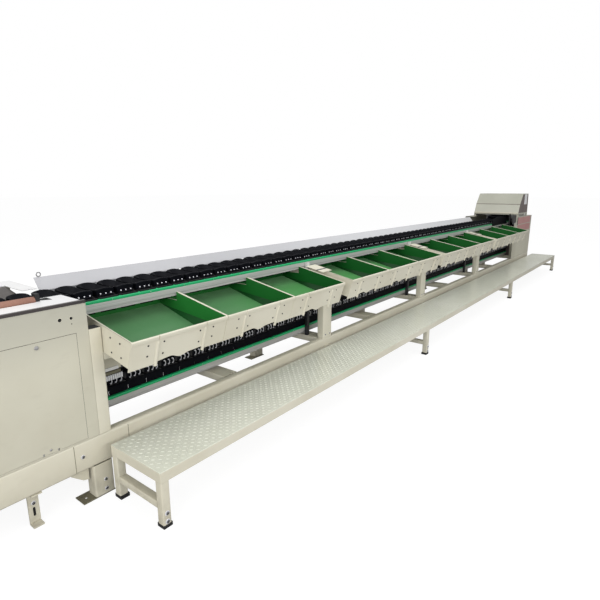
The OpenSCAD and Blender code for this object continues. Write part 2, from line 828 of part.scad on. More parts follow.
module infeed_deck() color(white) placed() difference() {
  span([-infeed_l, 0, deck_z], [0, frame_d, deck_z + deck_t]);
  top = deck_z + deck_t + over;
  span([-infeed_l + deck_right_l, deck_front_d, deck_z - over], [-roller_end, deck_lane_front, top]);
  span([-infeed_l + deck_right_l, deck_lane_front, deck_z - over], [-deck_right_l, chute_back, top]);
  span([-deck_right_l - over, deck_lane_front, deck_z - over], [over, deck_lane_back, top]);
  bar_x(-roller_end - over, -roller_end + roller_block_l + axle_room, roller_y, roller_z, axle_r + axle_room);
}

module deck_trim() color(dark_grey) placed() along_x(-infeed_l, 0,
  [[-trim_face_t, deck_z - trim_under], [0, deck_z - trim_under], [0, deck_z + deck_t],
   [trim_d, deck_z + deck_t],
   [trim_d, deck_z - trim_under + trim_h], [-trim_face_t, deck_z - trim_under + trim_h]]);

module infeed_chute() color(dark_grey) placed()
  along_x(-infeed_l + deck_right_l, -deck_right_l,
          [[chute_back, deck_z], [chute_front, deck_z - chute_drop],
           [chute_front, deck_z - chute_drop - sheet_t],
           [chute_back + sheet_t, deck_z - sheet_t], [chute_back + sheet_t * 2, deck_z]]);

module singulator_roller() color(brown) placed() {
  bar_x(-roller_end - roller_l, -roller_end, roller_y, roller_z, roller_d / 2);
  bar_x(-roller_end - roller_l - roller_block_l, -roller_end + roller_block_l, roller_y, roller_z, axle_r);
}

module roller_blocks() color(black) placed()
  for (x = [-roller_end - roller_l - roller_block_l, -roller_end + seat_gap]) difference() {
    span([x, roller_y - roller_block_w / 2, deck_z + deck_t],
         [x + roller_block_l - seat_gap, roller_y + roller_block_w / 2, deck_z + roller_block_h - deck_t]);
    bar_x(x - over, x + roller_block_l + over, roller_y, roller_z, axle_r + pin_clear);
  }

// Head cabinet

module head_shell() color(cream) placed() {
  window_x = head_x + window_l;
  difference() {
    span([head_x, 0, beam_top], [machine_end, sheet_t, head_top]);
    span([head_x - over, -over, window_low], [window_x, sheet_t + over, head_top + over]);
  }
  span([machine_end - sheet_t, sheet_in, beam_top], [machine_end, frame_d - sheet_in, head_top - sheet_in]);
  span([head_x, frame_d - sheet_t, beam_top], [machine_end, frame_d, head_top]);
  span([hood_end + panel_gap, sheet_in, head_top - sheet_t], [machine_end, frame_d - sheet_in, head_top]);
  span([head_x, frame_d - rear_flange, head_top - sheet_t], [hood_end, frame_d - sheet_in, head_top]);
  span([window_x, sheet_in, head_top - sheet_t], [hood_end, top_flange, head_top]);
  // Legs under the hood
  for (x = [hood_x + leg_w, hood_end - leg_w * 2])
    hood_leg(x, hood_d - leg_w - sheet_t * 2, head_top + panel_gap);
  hood_leg(hood_end - leg_w * 2, sheet_t * 2, head_top + panel_gap);
  hood_leg(window_x - leg_w - panel_gap, sheet_in, beam_top);
  // Cross bar between the front legs, which the inner strap hangs from
  span([window_x - leg_w, sheet_in + leg_w + panel_gap, hood_z - leg_w],
       [window_x, hood_d - leg_w - sheet_t * 2 - panel_gap, hood_z - panel_gap]);
  // Louvred side plates that close the space under the hood
  difference() {
    hood_side(window_x + panel_gap, 0);
    for (i = [1 : louvres])
      span([window_x + louvre_in, -over, louvre_z(i)],
           [hood_end - louvre_in, sheet_t + over, louvre_z(i) + louvre_h]);
  }
  hood_side(hood_x, hood_d - sheet_t);
}

// A plate between the cabinet's top and the hood, from x to the hood's end.
module hood_side(x, y)
  span([x, y, head_top + panel_gap], [hood_end, y + sheet_t, hood_z - panel_gap]);

// Lower edge of louvre i.
function louvre_z(i) = head_top + i * (hood_z - head_top) / (louvres + 1) - louvre_h / 2;

// A square leg that the hood's foot flange seats on.
module hood_leg(x, y, z) tube_z([x, y, z], [x + leg_w, y + leg_w, hood_z - panel_gap], sheet_t);

hood_x = head_x + hood_start;
hood_end = hood_x + hood_l;

// Outline of the hood in X and Z, drawn in by a distance.
function hood_points(g) = [
  [hood_x + g, hood_z], [hood_x + hood_bend_in + g, hood_z + hood_bend_h],
  [hood_x + hood_top_in + g, hood_z + hood_h - g],
  [hood_end - hood_back_in - g, hood_z + hood_h - g], [hood_end - g, hood_z]];
hood_hinges = [hood_d * hinge_share, hood_d * (1 - hinge_share)];
hood_pin_x = hood_end + hood_knuckle_r;
hood_pin_z = hood_z + hood_knuckle_r;

module hood() color(cream) placed() difference() {
  union() {
    difference() {
      along_y(0, hood_d, hood_points(0));
      difference() {
        along_y(sheet_t, hood_d - sheet_t, concat([[hood_x + sheet_t, hood_z - over]], hood_points(sheet_t),
                                                  [[hood_end - sheet_t, hood_z - over]]));
        // Foot flanges that seat on the legs
        for (x = [hood_x, hood_end - leg_w * 3])
          span([x, 0, hood_z], [x + leg_w * 3, hood_d, hood_z + sheet_t]);
      }
    }
    for (y = hood_hinges) {
      bar_y(y - hood_knuckle_l / 2, y + hood_knuckle_l / 2, hood_pin_x, hood_pin_z, hood_knuckle_r);
      span([hood_end - sheet_t, y - hood_knuckle_l / 2, hood_pin_z - sheet_t],
           [hood_pin_x, y + hood_knuckle_l / 2, hood_pin_z + sheet_t]);
    }
  }
  for (y = hood_hinges)
    bar_y(y - hood_knuckle_l, y + hood_knuckle_l, hood_pin_x, hood_pin_z, hood_pin_r + pin_clear);
}

module hinge_pins() color(steel) placed() {
  for (x = door_hinges) {
    bar_x(x - knuckle_l / 2 - hinge_ear_t, x + knuckle_l / 2 + hinge_ear_t, hinge_y, hinge_z, hinge_r);
    for (s = [-1, 1]) difference() {
      translate([x + s * (knuckle_l / 2 + seat_gap + hinge_ear_t / 2), 0, 0])
        span([-hinge_ear_t / 2, sheet_t + seat_gap, beam_top],
             [hinge_ear_t / 2, hinge_y + knuckle_r, hinge_z + knuckle_r]);
      bar_x(x - knuckle_l, x + knuckle_l, hinge_y, hinge_z, hinge_r);
    }
  }
  for (y = hood_hinges) {
    e = hood_knuckle_l / 2 + seat_gap;
    bar_y(y - e - hood_ear_t, y + e + hood_ear_t, hood_pin_x, hood_pin_z, hood_pin_r);
    for (s = [-1, 1]) difference() {
      span([hood_pin_x - hood_knuckle_r / 2, y + s * (e + hood_ear_t / 2) - hood_ear_t / 2, head_top],
           [hood_pin_x + hood_knuckle_r, y + s * (e + hood_ear_t / 2) + hood_ear_t / 2,
            hood_pin_z + hood_knuckle_r]);
      bar_y(y - hood_knuckle_l, y + hood_knuckle_l, hood_pin_x, hood_pin_z, hood_pin_r);
    }
  }
}

module head_straps() color(black) placed() {
  span([head_x + window_l - strap_w + strap_seat, -strap_t, strap_low],
       [head_x + window_l + strap_seat, 0, head_top]);
  span([head_x + window_l - leg_w - strap_t, strap_y, strap_low],
       [head_x + window_l - leg_w, strap_y + strap_w, hood_z - panel_gap]);
}

module head_plates() color(pale_red) placed() for (i = [0, 1]) {
  z = head_top - red_top_in - i * (red_h + red_gap);
  span([head_x + window_l + plate_in, -sheet_t, z - red_h], [machine_end - plate_end_in, 0, z]);
}

// Drive

stand_ys = [block_in, frame_d - block_in - stand_d];

module bearing_stands() color(cream) placed() for (x = [tail_x, drive_x], y = stand_ys)
  tube_z([x - stand_w / 2, y, beam_top], [x + stand_w / 2, y + stand_d, shaft_z - block_rise], tube_wall);

module bearings() color(black) placed() for (x = [tail_x, drive_x], y = stand_ys) {
  m = y + stand_d / 2;
  difference() {
    union() {
      span([x - block_l / 2, m - block_w / 2, shaft_z - block_rise],
           [x + block_l / 2, m + block_w / 2, shaft_z - block_rise / 2]);
      bar_y(m - block_w / 2, m + block_w / 2, x, shaft_z, block_rise);
    }
    bar_y(m - block_w, m + block_w, x, shaft_z, shaft_d / 2 + shaft_clear);
  }
}

// The gearbox stands midway in the room between the carriers and the rear bearing.
gear_room = stand_ys[1] + stand_d / 2 - block_w / 2 - lane_y - carrier_half;
gear_w = gear_room * gear_share;
gear_y = lane_y + carrier_half + (gear_room - gear_w) / 2;
motor_r = gear_w * motor_share;

module gearmotor() color(motor_blue) placed() {
  difference() {
    span([drive_x - gear_l / 2, gear_y, shaft_z - gear_h / 2],
         [drive_x + gear_l / 2, gear_y + gear_w, shaft_z + gear_h / 2]);
    bar_y(gear_y - over, gear_y + gear_w + over, drive_x, shaft_z, shaft_d / 2 + shaft_clear);
  }
  bar_x(drive_x + gear_l / 2, drive_x + gear_l / 2 + motor_l, gear_y + gear_w / 2, shaft_z, motor_r);
  span([drive_x - arm_w / 2, gear_y + gear_w / 2 - arm_t / 2, beam_top],
       [drive_x + arm_w / 2, gear_y + gear_w / 2 + arm_t / 2, shaft_z - gear_h / 2]);
}

module shaft_bar(x) color(steel) placed() bar_y(beam_w, frame_d - beam_w, x, shaft_z, shaft_d / 2);
module head_shaft() shaft_bar(drive_x);
module tail_shaft() shaft_bar(tail_x);

// A sprocket disc that carries the links of a turn, with its hub and lightening holes.
module sprocket(x) color(steel) placed() {
  rim_r = turn_r - link_w / 2 - seat_gap;
  difference() {
    union() {
      bar_y(lane_y - sprocket_t / 2, lane_y + sprocket_t / 2, x, shaft_z, rim_r);
      bar_y(lane_y - hub_l / 2, lane_y + hub_l / 2, x, shaft_z, hub_d / 2);
    }
    bar_y(lane_y - hub_l, lane_y + hub_l, x, shaft_z, shaft_d / 2 + shaft_clear);
    for (i = [0 : lighten_n - 1]) translate([x, 0, shaft_z]) rotate([0, i * 360 / lighten_n, 0])
      bar_y(lane_y - hub_l, lane_y + hub_l, 0, rim_r * lighten_share, lighten_r);
  }
}
module head_sprocket() sprocket(drive_x);
module tail_sprocket() sprocket(tail_x);

// Platform

leg_xs = [for (i = [0 : sections]) plat_start + i * (plat_l - plat_rail_w) / sections];
rail_low = plat_top - plat_t - plat_rail_h;
plat_ys = [y_low, -plat_gap - plat_rail_w];

module platform_frame() color(cream) placed() {
  for (y = plat_ys)
    tube_x([plat_start, y, rail_low], [plat_start + plat_l, y + plat_rail_w, plat_top - plat_t], tube_wall);
  for (i = [0 : sections * 2]) {
    x = plat_start + i * (plat_l - plat_cross_w) / sections / 2;
    tube_y([x, y_low + plat_rail_w + panel_gap, rail_low],
           [x + plat_cross_w, -plat_gap - plat_rail_w - panel_gap, plat_top - plat_t], tube_wall);
  }
  // Ties to the base beam
  for (k = [1 : modules - 1]) {
    x = post_x(k);
    low = -plat_gap + panel_gap;
    span([x - tie_w / 2, low, rail_low], [x + tie_w / 2, 0, rail_low + tie_t]);
    span([x - tie_w / 2, -tie_t, rail_low + tie_t], [x + tie_w / 2, 0, rail_low + tie_h]);
    span([x - tie_w / 2, low, rail_low + tie_t], [x + tie_w / 2, low + tie_t, rail_low + tie_h]);
  }
}

module platform_deck() color(checker) placed()
  span([plat_start, y_low, plat_top - plat_t], [plat_start + plat_l, -plat_gap, plat_top]);

module platform_legs() color(cream) placed() for (x = leg_xs) {
  for (y = plat_ys) tube_z([x, y, pad_h], [x + plat_rail_w, y + plat_rail_w, rail_low], tube_wall);
  translate([x + plat_rail_w / 2, 0, rung_z])
    tube_y([-rung_w / 2, y_low + plat_rail_w + panel_gap, 0],
           [rung_w / 2, -plat_gap - plat_rail_w - panel_gap, rung_h], tube_wall);
}

module platform_pads() color(black) placed() for (x = leg_xs, y = plat_ys)
  span([max(x - pad_extra, plat_start), max(y - pad_extra, y_low), 0],
       [min(x + plat_rail_w + pad_extra, plat_start + plat_l), y + plat_rail_w + pad_extra, pad_h]);

// Fasteners

module frame_bolts() color(steel) placed() {
  for (x = foot_xs, z = foot_bolt_shares)
    hex_front(x + foot_bolt_off, 0, plate_t + z * (beam_z - plate_t), bolt_r, bolt_h);
  for (k = [1 : modules - 1], s = [-1, 1]) {
    hex_front(post_x(k) + s * tie_w / 4, -tie_t, rail_low + tie_h * half_share, screw_r, screw_h);
    for (z = post_bolt_shares)
      hex_front(post_x(k) + s * post_w / 4, 0, beam_top + z * (post_top - beam_top), screw_r, screw_h);
  }
  hex_front(-beam_lead * seam_bolt_share, 0, beam_z + beam_h / 2, bolt_r, bolt_h);
  for (x = level_xs) hex_front(x, level_in, beam_z - level_drop * level_bolt_share, bolt_r, bolt_h);
}

base_beams();
cross_members();
frame_posts();
top_rails();
foot_tubes();
foot_plates();
levelling_feet();
rail_uprights();
track_rails();
guide_strips();
tray_body_1();
tray_body_2();
tray_body_3();
tray_body_4();
tray_liner_1();
tray_liner_2();
tray_liner_3();
tray_liner_4();
guard_plate();
guard_eye();
solenoids();
kicker_1();
kicker_2();
kicker_3();
weigh_bridge();
infeed_shell();
access_door();
infeed_deck();
deck_trim();
infeed_chute();
singulator_roller();
roller_blocks();
head_shell();
hood();
hinge_pins();
head_straps();
head_plates();
bearing_stands();
bearings();
gearmotor();
head_shaft();
head_sprocket();
head_links();
head_turn_cups();
tail_shaft();
tail_sprocket();
tail_links();
tail_turn_cups();
upper_links();
upper_cups();
lower_links();
lower_cups();
tip_cup_1();
tip_cup_2();
tip_cup_3();
platform_frame();
platform_deck();
platform_legs();
platform_pads();
frame_bolts();
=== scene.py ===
"""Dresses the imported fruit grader: cream powder coat, lined trays, black cups and a checker-plate step.

The CAD frame is in metres. The fields of a sub-assembly are millimetres, counted from the infeed cabinet's
lane end, the frame's front and the floor. Sizes that the CAD fixes are read from the frame's boxes.
"""

from __future__ import annotations

import json
import logging
import math
import sys
from dataclasses import dataclass
from enum import Enum
from typing import Any, Iterable, Sequence

import bmesh
import bpy
import numpy as np
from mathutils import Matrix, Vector

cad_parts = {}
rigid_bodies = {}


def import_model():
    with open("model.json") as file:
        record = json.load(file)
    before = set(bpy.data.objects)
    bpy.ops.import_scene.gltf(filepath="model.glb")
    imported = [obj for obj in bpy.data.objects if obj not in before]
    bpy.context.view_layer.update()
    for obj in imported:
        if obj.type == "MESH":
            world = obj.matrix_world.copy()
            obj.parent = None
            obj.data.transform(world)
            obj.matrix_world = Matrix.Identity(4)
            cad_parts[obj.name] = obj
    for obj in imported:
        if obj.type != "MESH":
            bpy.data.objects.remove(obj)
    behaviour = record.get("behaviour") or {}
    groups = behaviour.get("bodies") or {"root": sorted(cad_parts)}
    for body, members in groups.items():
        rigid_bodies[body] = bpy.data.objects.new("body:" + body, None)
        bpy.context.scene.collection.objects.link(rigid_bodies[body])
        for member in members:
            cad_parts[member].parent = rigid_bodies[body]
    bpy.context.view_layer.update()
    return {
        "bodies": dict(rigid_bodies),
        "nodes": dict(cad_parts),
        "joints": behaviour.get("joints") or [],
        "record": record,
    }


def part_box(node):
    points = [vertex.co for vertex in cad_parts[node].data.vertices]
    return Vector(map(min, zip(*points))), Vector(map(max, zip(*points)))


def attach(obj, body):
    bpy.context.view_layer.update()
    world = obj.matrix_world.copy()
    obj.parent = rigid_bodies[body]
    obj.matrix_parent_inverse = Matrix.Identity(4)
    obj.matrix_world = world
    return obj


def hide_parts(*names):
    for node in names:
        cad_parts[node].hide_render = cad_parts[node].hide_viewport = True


LOG = logging.getLogger("grader")
MM = 0.001
SHARP = 38.0
Array = np.ndarray
Pair = tuple[float, float]
Triple = tuple[float, float, float]
Four = tuple[float, float, float, float]
Colour = tuple[float, float, float, float]
Outline = tuple[Pair, ...]
Sizes = tuple[tuple[str, float], ...]


class Body(str, Enum):
    """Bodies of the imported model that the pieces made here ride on."""

    FRAME = "frame"
    UPPER = "upper_strand"
    LOWER = "lower_strand"
    HEAD = "head_turn"
    TAIL = "tail_turn"
    DOOR = "door"
    HOOD = "hood_cover"


class Axis(int, Enum):
    """A row axis by its number."""

    X = 0
    Y = 1
    Z = 2


def srgb(red: int, green: int, blue: int) -> Colour:
    """Turns an 8-bit display colour into a linear one.

    Args:
        red: Red, 0 to 255.
        green: Green, 0 to 255.
        blue: Blue, 0 to 255.

    Returns:
        The linear colour with full alpha.
    """
    c = np.array([red, green, blue]) / 255.0
    linear = np.where(c <= 0.04045, c / 12.92, ((c + 0.055) / 1.055) ** 2.4)
    return (*linear.tolist(), 1.0)


# Shader expressions


class Value:
    """One shader number; its operators add Math nodes to the tree it belongs to."""

    def __init__(self, tree: Tree, socket: bpy.types.NodeSocket) -> None:
        """Wraps one output socket of a tree."""
        self.tree = tree
        self.socket = socket

    def _math(self, operation: str, other: Any) -> Value:
        """Adds one Math node and wraps its result."""
        return self.tree.node("ShaderNodeMath", {"operation": operation}, {0: self, 1: other})

    def __add__(self, other: Any) -> Value:
        """Sum."""
        return self._math("ADD", other)

    __radd__ = __add__

    def __sub__(self, other: Any) -> Value:
        """Difference."""
        return self._math("SUBTRACT", other)

    def __rsub__(self, other: Any) -> Value:
        """Difference, the other way round."""
        settings = {"operation": "SUBTRACT"}
        return self.tree.node("ShaderNodeMath", settings, {0: other, 1: self})

    def __mul__(self, other: Any) -> Value:
        """Product."""
        return self._math("MULTIPLY", other)

    __rmul__ = __mul__

    def step(self, low: float, high: float) -> Value:
        """Rises smoothly from 0 at low to 1 at high; falls where low is above high."""
        ends = (low, high, 0.0, 1.0) if low <= high else (high, low, 1.0, 0.0)
        settings = {"interpolation_type": "SMOOTHSTEP"}
        return self.tree.node("ShaderNodeMapRange", settings, {0: self, **dict(enumerate(ends, 1))})


class Tree:
    """A material's node tree, written as expressions."""

    def __init__(self, name: str) -> None:
        """Starts a material with an empty tree."""
        self.material = bpy.data.materials.new(name)
        self.material.use_nodes = True
        self.tree = self.material.node_tree
        self.tree.nodes.clear()

    def node(self, kind: str, settings: dict[str, Any], inputs: dict[Any, Any], output: Any = 0) -> Value:
        """Adds one node.

        Args:
            kind: The node's type.
            settings: Its own settings, which are set first.
            inputs: Values or links of its sockets, by name or number.
            output: The output that is wanted, by name or number.

        Returns:
            That output.
        """
        made = self.tree.nodes.new(kind)
        for key, value in settings.items():
            setattr(made, key, value)
        for key, value in inputs.items():
            if isinstance(value, Value):
                self.tree.links.new(value.socket, made.inputs[key])
            else:
                made.inputs[key].default_value = value
        return Value(self, made.outputs[output])

    def place(self, stretch: Sequence[float]) -> Value:
        """Object coordinates, scaled along X, Y and Z."""
        raw = self.node("ShaderNodeTexCoord", {}, {}, "Object")
        return self.node("ShaderNodeMapping", {}, {"Vector": raw, "Scale": stretch})

    def along(self, axis: str) -> Value:
        """The Object coordinate on one axis, X, Y or Z."""
        raw = self.node("ShaderNodeTexCoord", {}, {}, "Object")
        return self.node("ShaderNodeSeparateXYZ", {}, {0: raw}, axis)

    def facing_up(self) -> Value:
        """The Z part of the surface's own normal."""
        normal = self.node("ShaderNodeNewGeometry", {}, {}, "Normal")
        return self.node("ShaderNodeSeparateXYZ", {}, {0: normal}, "Z")

    def noise(self, scale: float, detail: float = 3.0, stretch: Sequence[float] = (1.0, 1.0, 1.0)) -> Value:
        """Cloudy noise, 0 to 1, on Object coordinates."""
        inputs = {"Vector": self.place(stretch), "Scale": scale, "Detail": detail, "Roughness": 0.55}
        return self.node("ShaderNodeTexNoise", {}, inputs)

    def cells(self, scale: float) -> Value:
        """Distance to the nearest of scattered points, on Object coordinates."""
        where = self.place((1.0, 1.0, 1.0))
        return self.node("ShaderNodeTexVoronoi", {}, {"Vector": where, "Scale": scale}, "Distance")

    def mix(self, amount: Any, first: Any, second: Any) -> Value:
        """Blends two colours by an amount from 0 to 1."""
        return self.node("ShaderNodeMix", {"data_type": "RGBA"}, {0: amount, 6: first, 7: second}, 2)

    def bump(self, height: Value, strength: float, distance: float) -> Value:
        """A bumped normal."""
        inputs = {"Height": height, "Strength": strength, "Distance": distance}
        return self.node("ShaderNodeBump", {}, inputs)

    def finish(self, inputs: dict[str, Any]) -> bpy.types.Material:
        """Ends the tree with one Principled shader.

        Args:
            inputs: Values or links of the shader's sockets.

        Returns:
            The finished material.
        """
        shader = self.node("ShaderNodeBsdfPrincipled", {}, inputs)
        out = self.tree.nodes.new("ShaderNodeOutputMaterial")
        self.tree.links.new(shader.socket, out.inputs["Surface"])
        return self.material


# Finishes


@dataclass(frozen=True)
class PowderCoat:
    """Sprayed and baked paint with orange peel, faint clouding, dust on top faces and grime near the floor.

    Where far is given, the paint passes into that colour between the two fade values on the fade axis: a painted
    gradient of light and shade that stands in for how the light falls.
    """

    name: str
    colour: Colour
    shade: Colour
    dirt: Colour = srgb(128, 120, 102)
    dust: Colour = srgb(196, 188, 170)
    roughness: float = 0.36
    grime: float = 0.35
    grime_height: float = 0.30
    peel: float = 0.05
    coat: float = 0.12
    far: Colour | None = None
    fade_axis: str = "Z"
    fade: Pair = (0.0, 1.0)

    def make(self) -> bpy.types.Material:
        """Builds the material: paint clouded by wide noise, with speckled grime that thins out with height."""
        t = Tree(self.name)
        cloud = t.noise(2.2, 4.0)
        fine = t.noise(60.0, 3.0)
        scuff = t.noise(9.0, 6.0, (1.0, 1.0, 3.0)).step(0.60, 0.74)
        low = t.along("Z").step(self.grime_height, 0.0)
        grime = (low * t.noise(14.0, 5.0).step(0.40, 0.72) + scuff * 0.18) * self.grime
        paint = t.mix(cloud.step(0.32, 0.70), self.colour, self.shade)
        # Painted light and shade: the paint passes into the far colour along one axis, as the light falls.
        if self.far:
            paint = t.mix(t.along(self.fade_axis).step(*self.fade), paint, self.far)
        colour = t.mix(grime, paint, self.dirt)
        dust = t.facing_up().step(0.6, 1.0) * fine * 0.10
        colour = t.mix(dust, colour, self.dust)
        rough = self.roughness + cloud * 0.08 + grime * 0.35 + dust
        return t.finish({"Base Color": colour, "Roughness": rough, "Coat Weight": self.coat,
                         "Coat Roughness": 0.2, "Normal": t.bump(t.noise(420.0, 2.0), self.peel, 0.0008)})


@dataclass(frozen=True)
class Extrusion:
    """Drawn aluminium: fine lines along the lane, matt anodising and a few rubbed streaks."""

    name: str
    colour: Colour
    streak: Colour
    roughness: float = 0.42

    def make(self) -> bpy.types.Material:
        """Builds the material from noise that is stretched along X."""
        t = Tree(self.name)
        lines = t.noise(60.0, 4.0, (0.02, 1.0, 6.0))
        blot = t.noise(3.0, 4.0)
        colour = t.mix(lines.step(0.35, 0.70), self.colour, self.streak)
        rough = self.roughness + (lines - 0.5) * 0.22 + blot * 0.10
        return t.finish({"Base Color": colour, "Metallic": 0.35, "Roughness": rough,
                         "Normal": t.bump(lines, 0.06, 0.0006)})


@dataclass(frozen=True)
class PlatedSteel:
    """Zinc-plated or blackened steel with spangle, handling marks and a brown tinge in places."""

    name: str
    colour: Colour
    mark: Colour
    metallic: float = 0.9
    roughness: float = 0.34

    def make(self) -> bpy.types.Material:
        """Builds the material: cells make the spangle, and noise the marks."""
        t = Tree(self.name)
        spangle = t.cells(220.0)
        marks = t.noise(26.0, 6.0).step(0.55, 0.75)
        colour = t.mix(marks * 0.6 + spangle * 0.25, self.colour, self.mark)
        rough = self.roughness + spangle * 0.15 + marks * 0.2
        return t.finish({"Base Color": colour, "Metallic": self.metallic, "Roughness": rough,
                         "Normal": t.bump(t.noise(300.0, 3.0), 0.08, 0.0006)})


@dataclass(frozen=True)
class CushionSheet:
    """Green cushion sheet: fine pebble, paler on upward faces as painted light from above, with rolling marks
    there, deep green on the walls.

    The far colours take over between the two falloff_from values on X, as a painted falloff of light along the
    machine, and the deep one between the rear_lift_from values on Y, as painted light on the bed's rear in the
    shade under the rail.
    """

    name: str
    wall: Colour
    bed: Colour
    rubbed: Colour
    # deep: a lighter green for the bed's rear, painted light against the shade under the rail.
    deep: Colour
    wall_far: Colour
    bed_far: Colour
    rear_lift_from: Pair = (-0.10, 0.17)
    falloff_from: Pair = (-3.3, -2.3)
    shine: float = 0.3

    def make(self) -> bpy.types.Material:
        """Builds the material: the bed colour follows the normal, and rolling marks run across the tray."""
        t = Tree(self.name)
        # Painted light: upward faces take the paler bed colour and the others the deeper wall green.
        up = t.facing_up().step(0.55, 0.95)
        tracks = t.noise(16.0, 5.0, (1.0, 0.10, 1.0)).step(0.48, 0.80)
        cloud = t.noise(5.0, 4.0)
        # Painted shade: towards the far end the walls pass into a darker green and the bed into a greener one, a
        # falloff of light along X.
        falloff_mask = t.along("X").step(*self.falloff_from)
        bed = t.mix(tracks * 0.45 + (cloud - 0.5) * 0.3, self.bed, self.rubbed)
        bed = t.mix(falloff_mask, bed, self.bed_far)
        # Painted light: the bed's rear, in the shade under the rail, passes into the lighter deep colour on Y.
        bed = t.mix(t.along("Y").step(*self.rear_lift_from), bed, self.deep)
        colour = t.mix(up, t.mix(falloff_mask, self.wall, self.wall_far), bed)
        pebble = t.cells(520.0)
        rough = 0.36 + pebble * 0.12 - up * 0.08 + cloud * 0.06
        return t.finish({"Base Color": colour, "Roughness": rough, "Specular IOR Level": self.shine,
                         "Normal": t.bump(pebble, 0.12, 0.0006)})


@dataclass(frozen=True)
class Moulding:
    """Moulded plastic or rubber: fine spark texture, slight sheen and rubbed high spots."""

    name: str
    colour: Colour
    rubbed: Colour
    roughness: float = 0.40
    grain: float = 700.0
    wear: float = 0.35
    shine: float = 0.5

    def make(self) -> bpy.types.Material:
        """Builds the material: noise mixes in the rubbed colour and roughens it."""
        t = Tree(self.name)
        rub = t.noise(34.0, 5.0).step(0.50, 0.78) * self.wear
        colour = t.mix(rub, self.colour, self.rubbed)
        rough = self.roughness + rub * 0.25 + t.noise(4.0) * 0.06
        return t.finish({"Base Color": colour, "Roughness": rough, "Specular IOR Level": self.shine,
                         "Normal": t.bump(t.noise(self.grain, 2.0), 0.10, 0.0005)})


@dataclass(frozen=True)
class RollerNap:
    """Soft covered roller: a short nap with fine rings around it and darker rubbed bands."""

    name: str
    colour: Colour
    dark: Colour

    def make(self) -> bpy.types.Material:
        """Builds the material: rings are noise that is squeezed along X."""
        t = Tree(self.name)
        rings = t.noise(220.0, 2.0, (1.0, 0.05, 0.05))
        bands = t.noise(9.0, 3.0, (1.0, 0.1, 0.1)).step(0.45, 0.70)
        colour = t.mix(bands * 0.6 + rings * 0.3, self.colour, self.dark)
        return t.finish({"Base Color": colour, "Roughness": 0.72 + rings * 0.15,
                         "Normal": t.bump(rings, 0.35, 0.0010)})


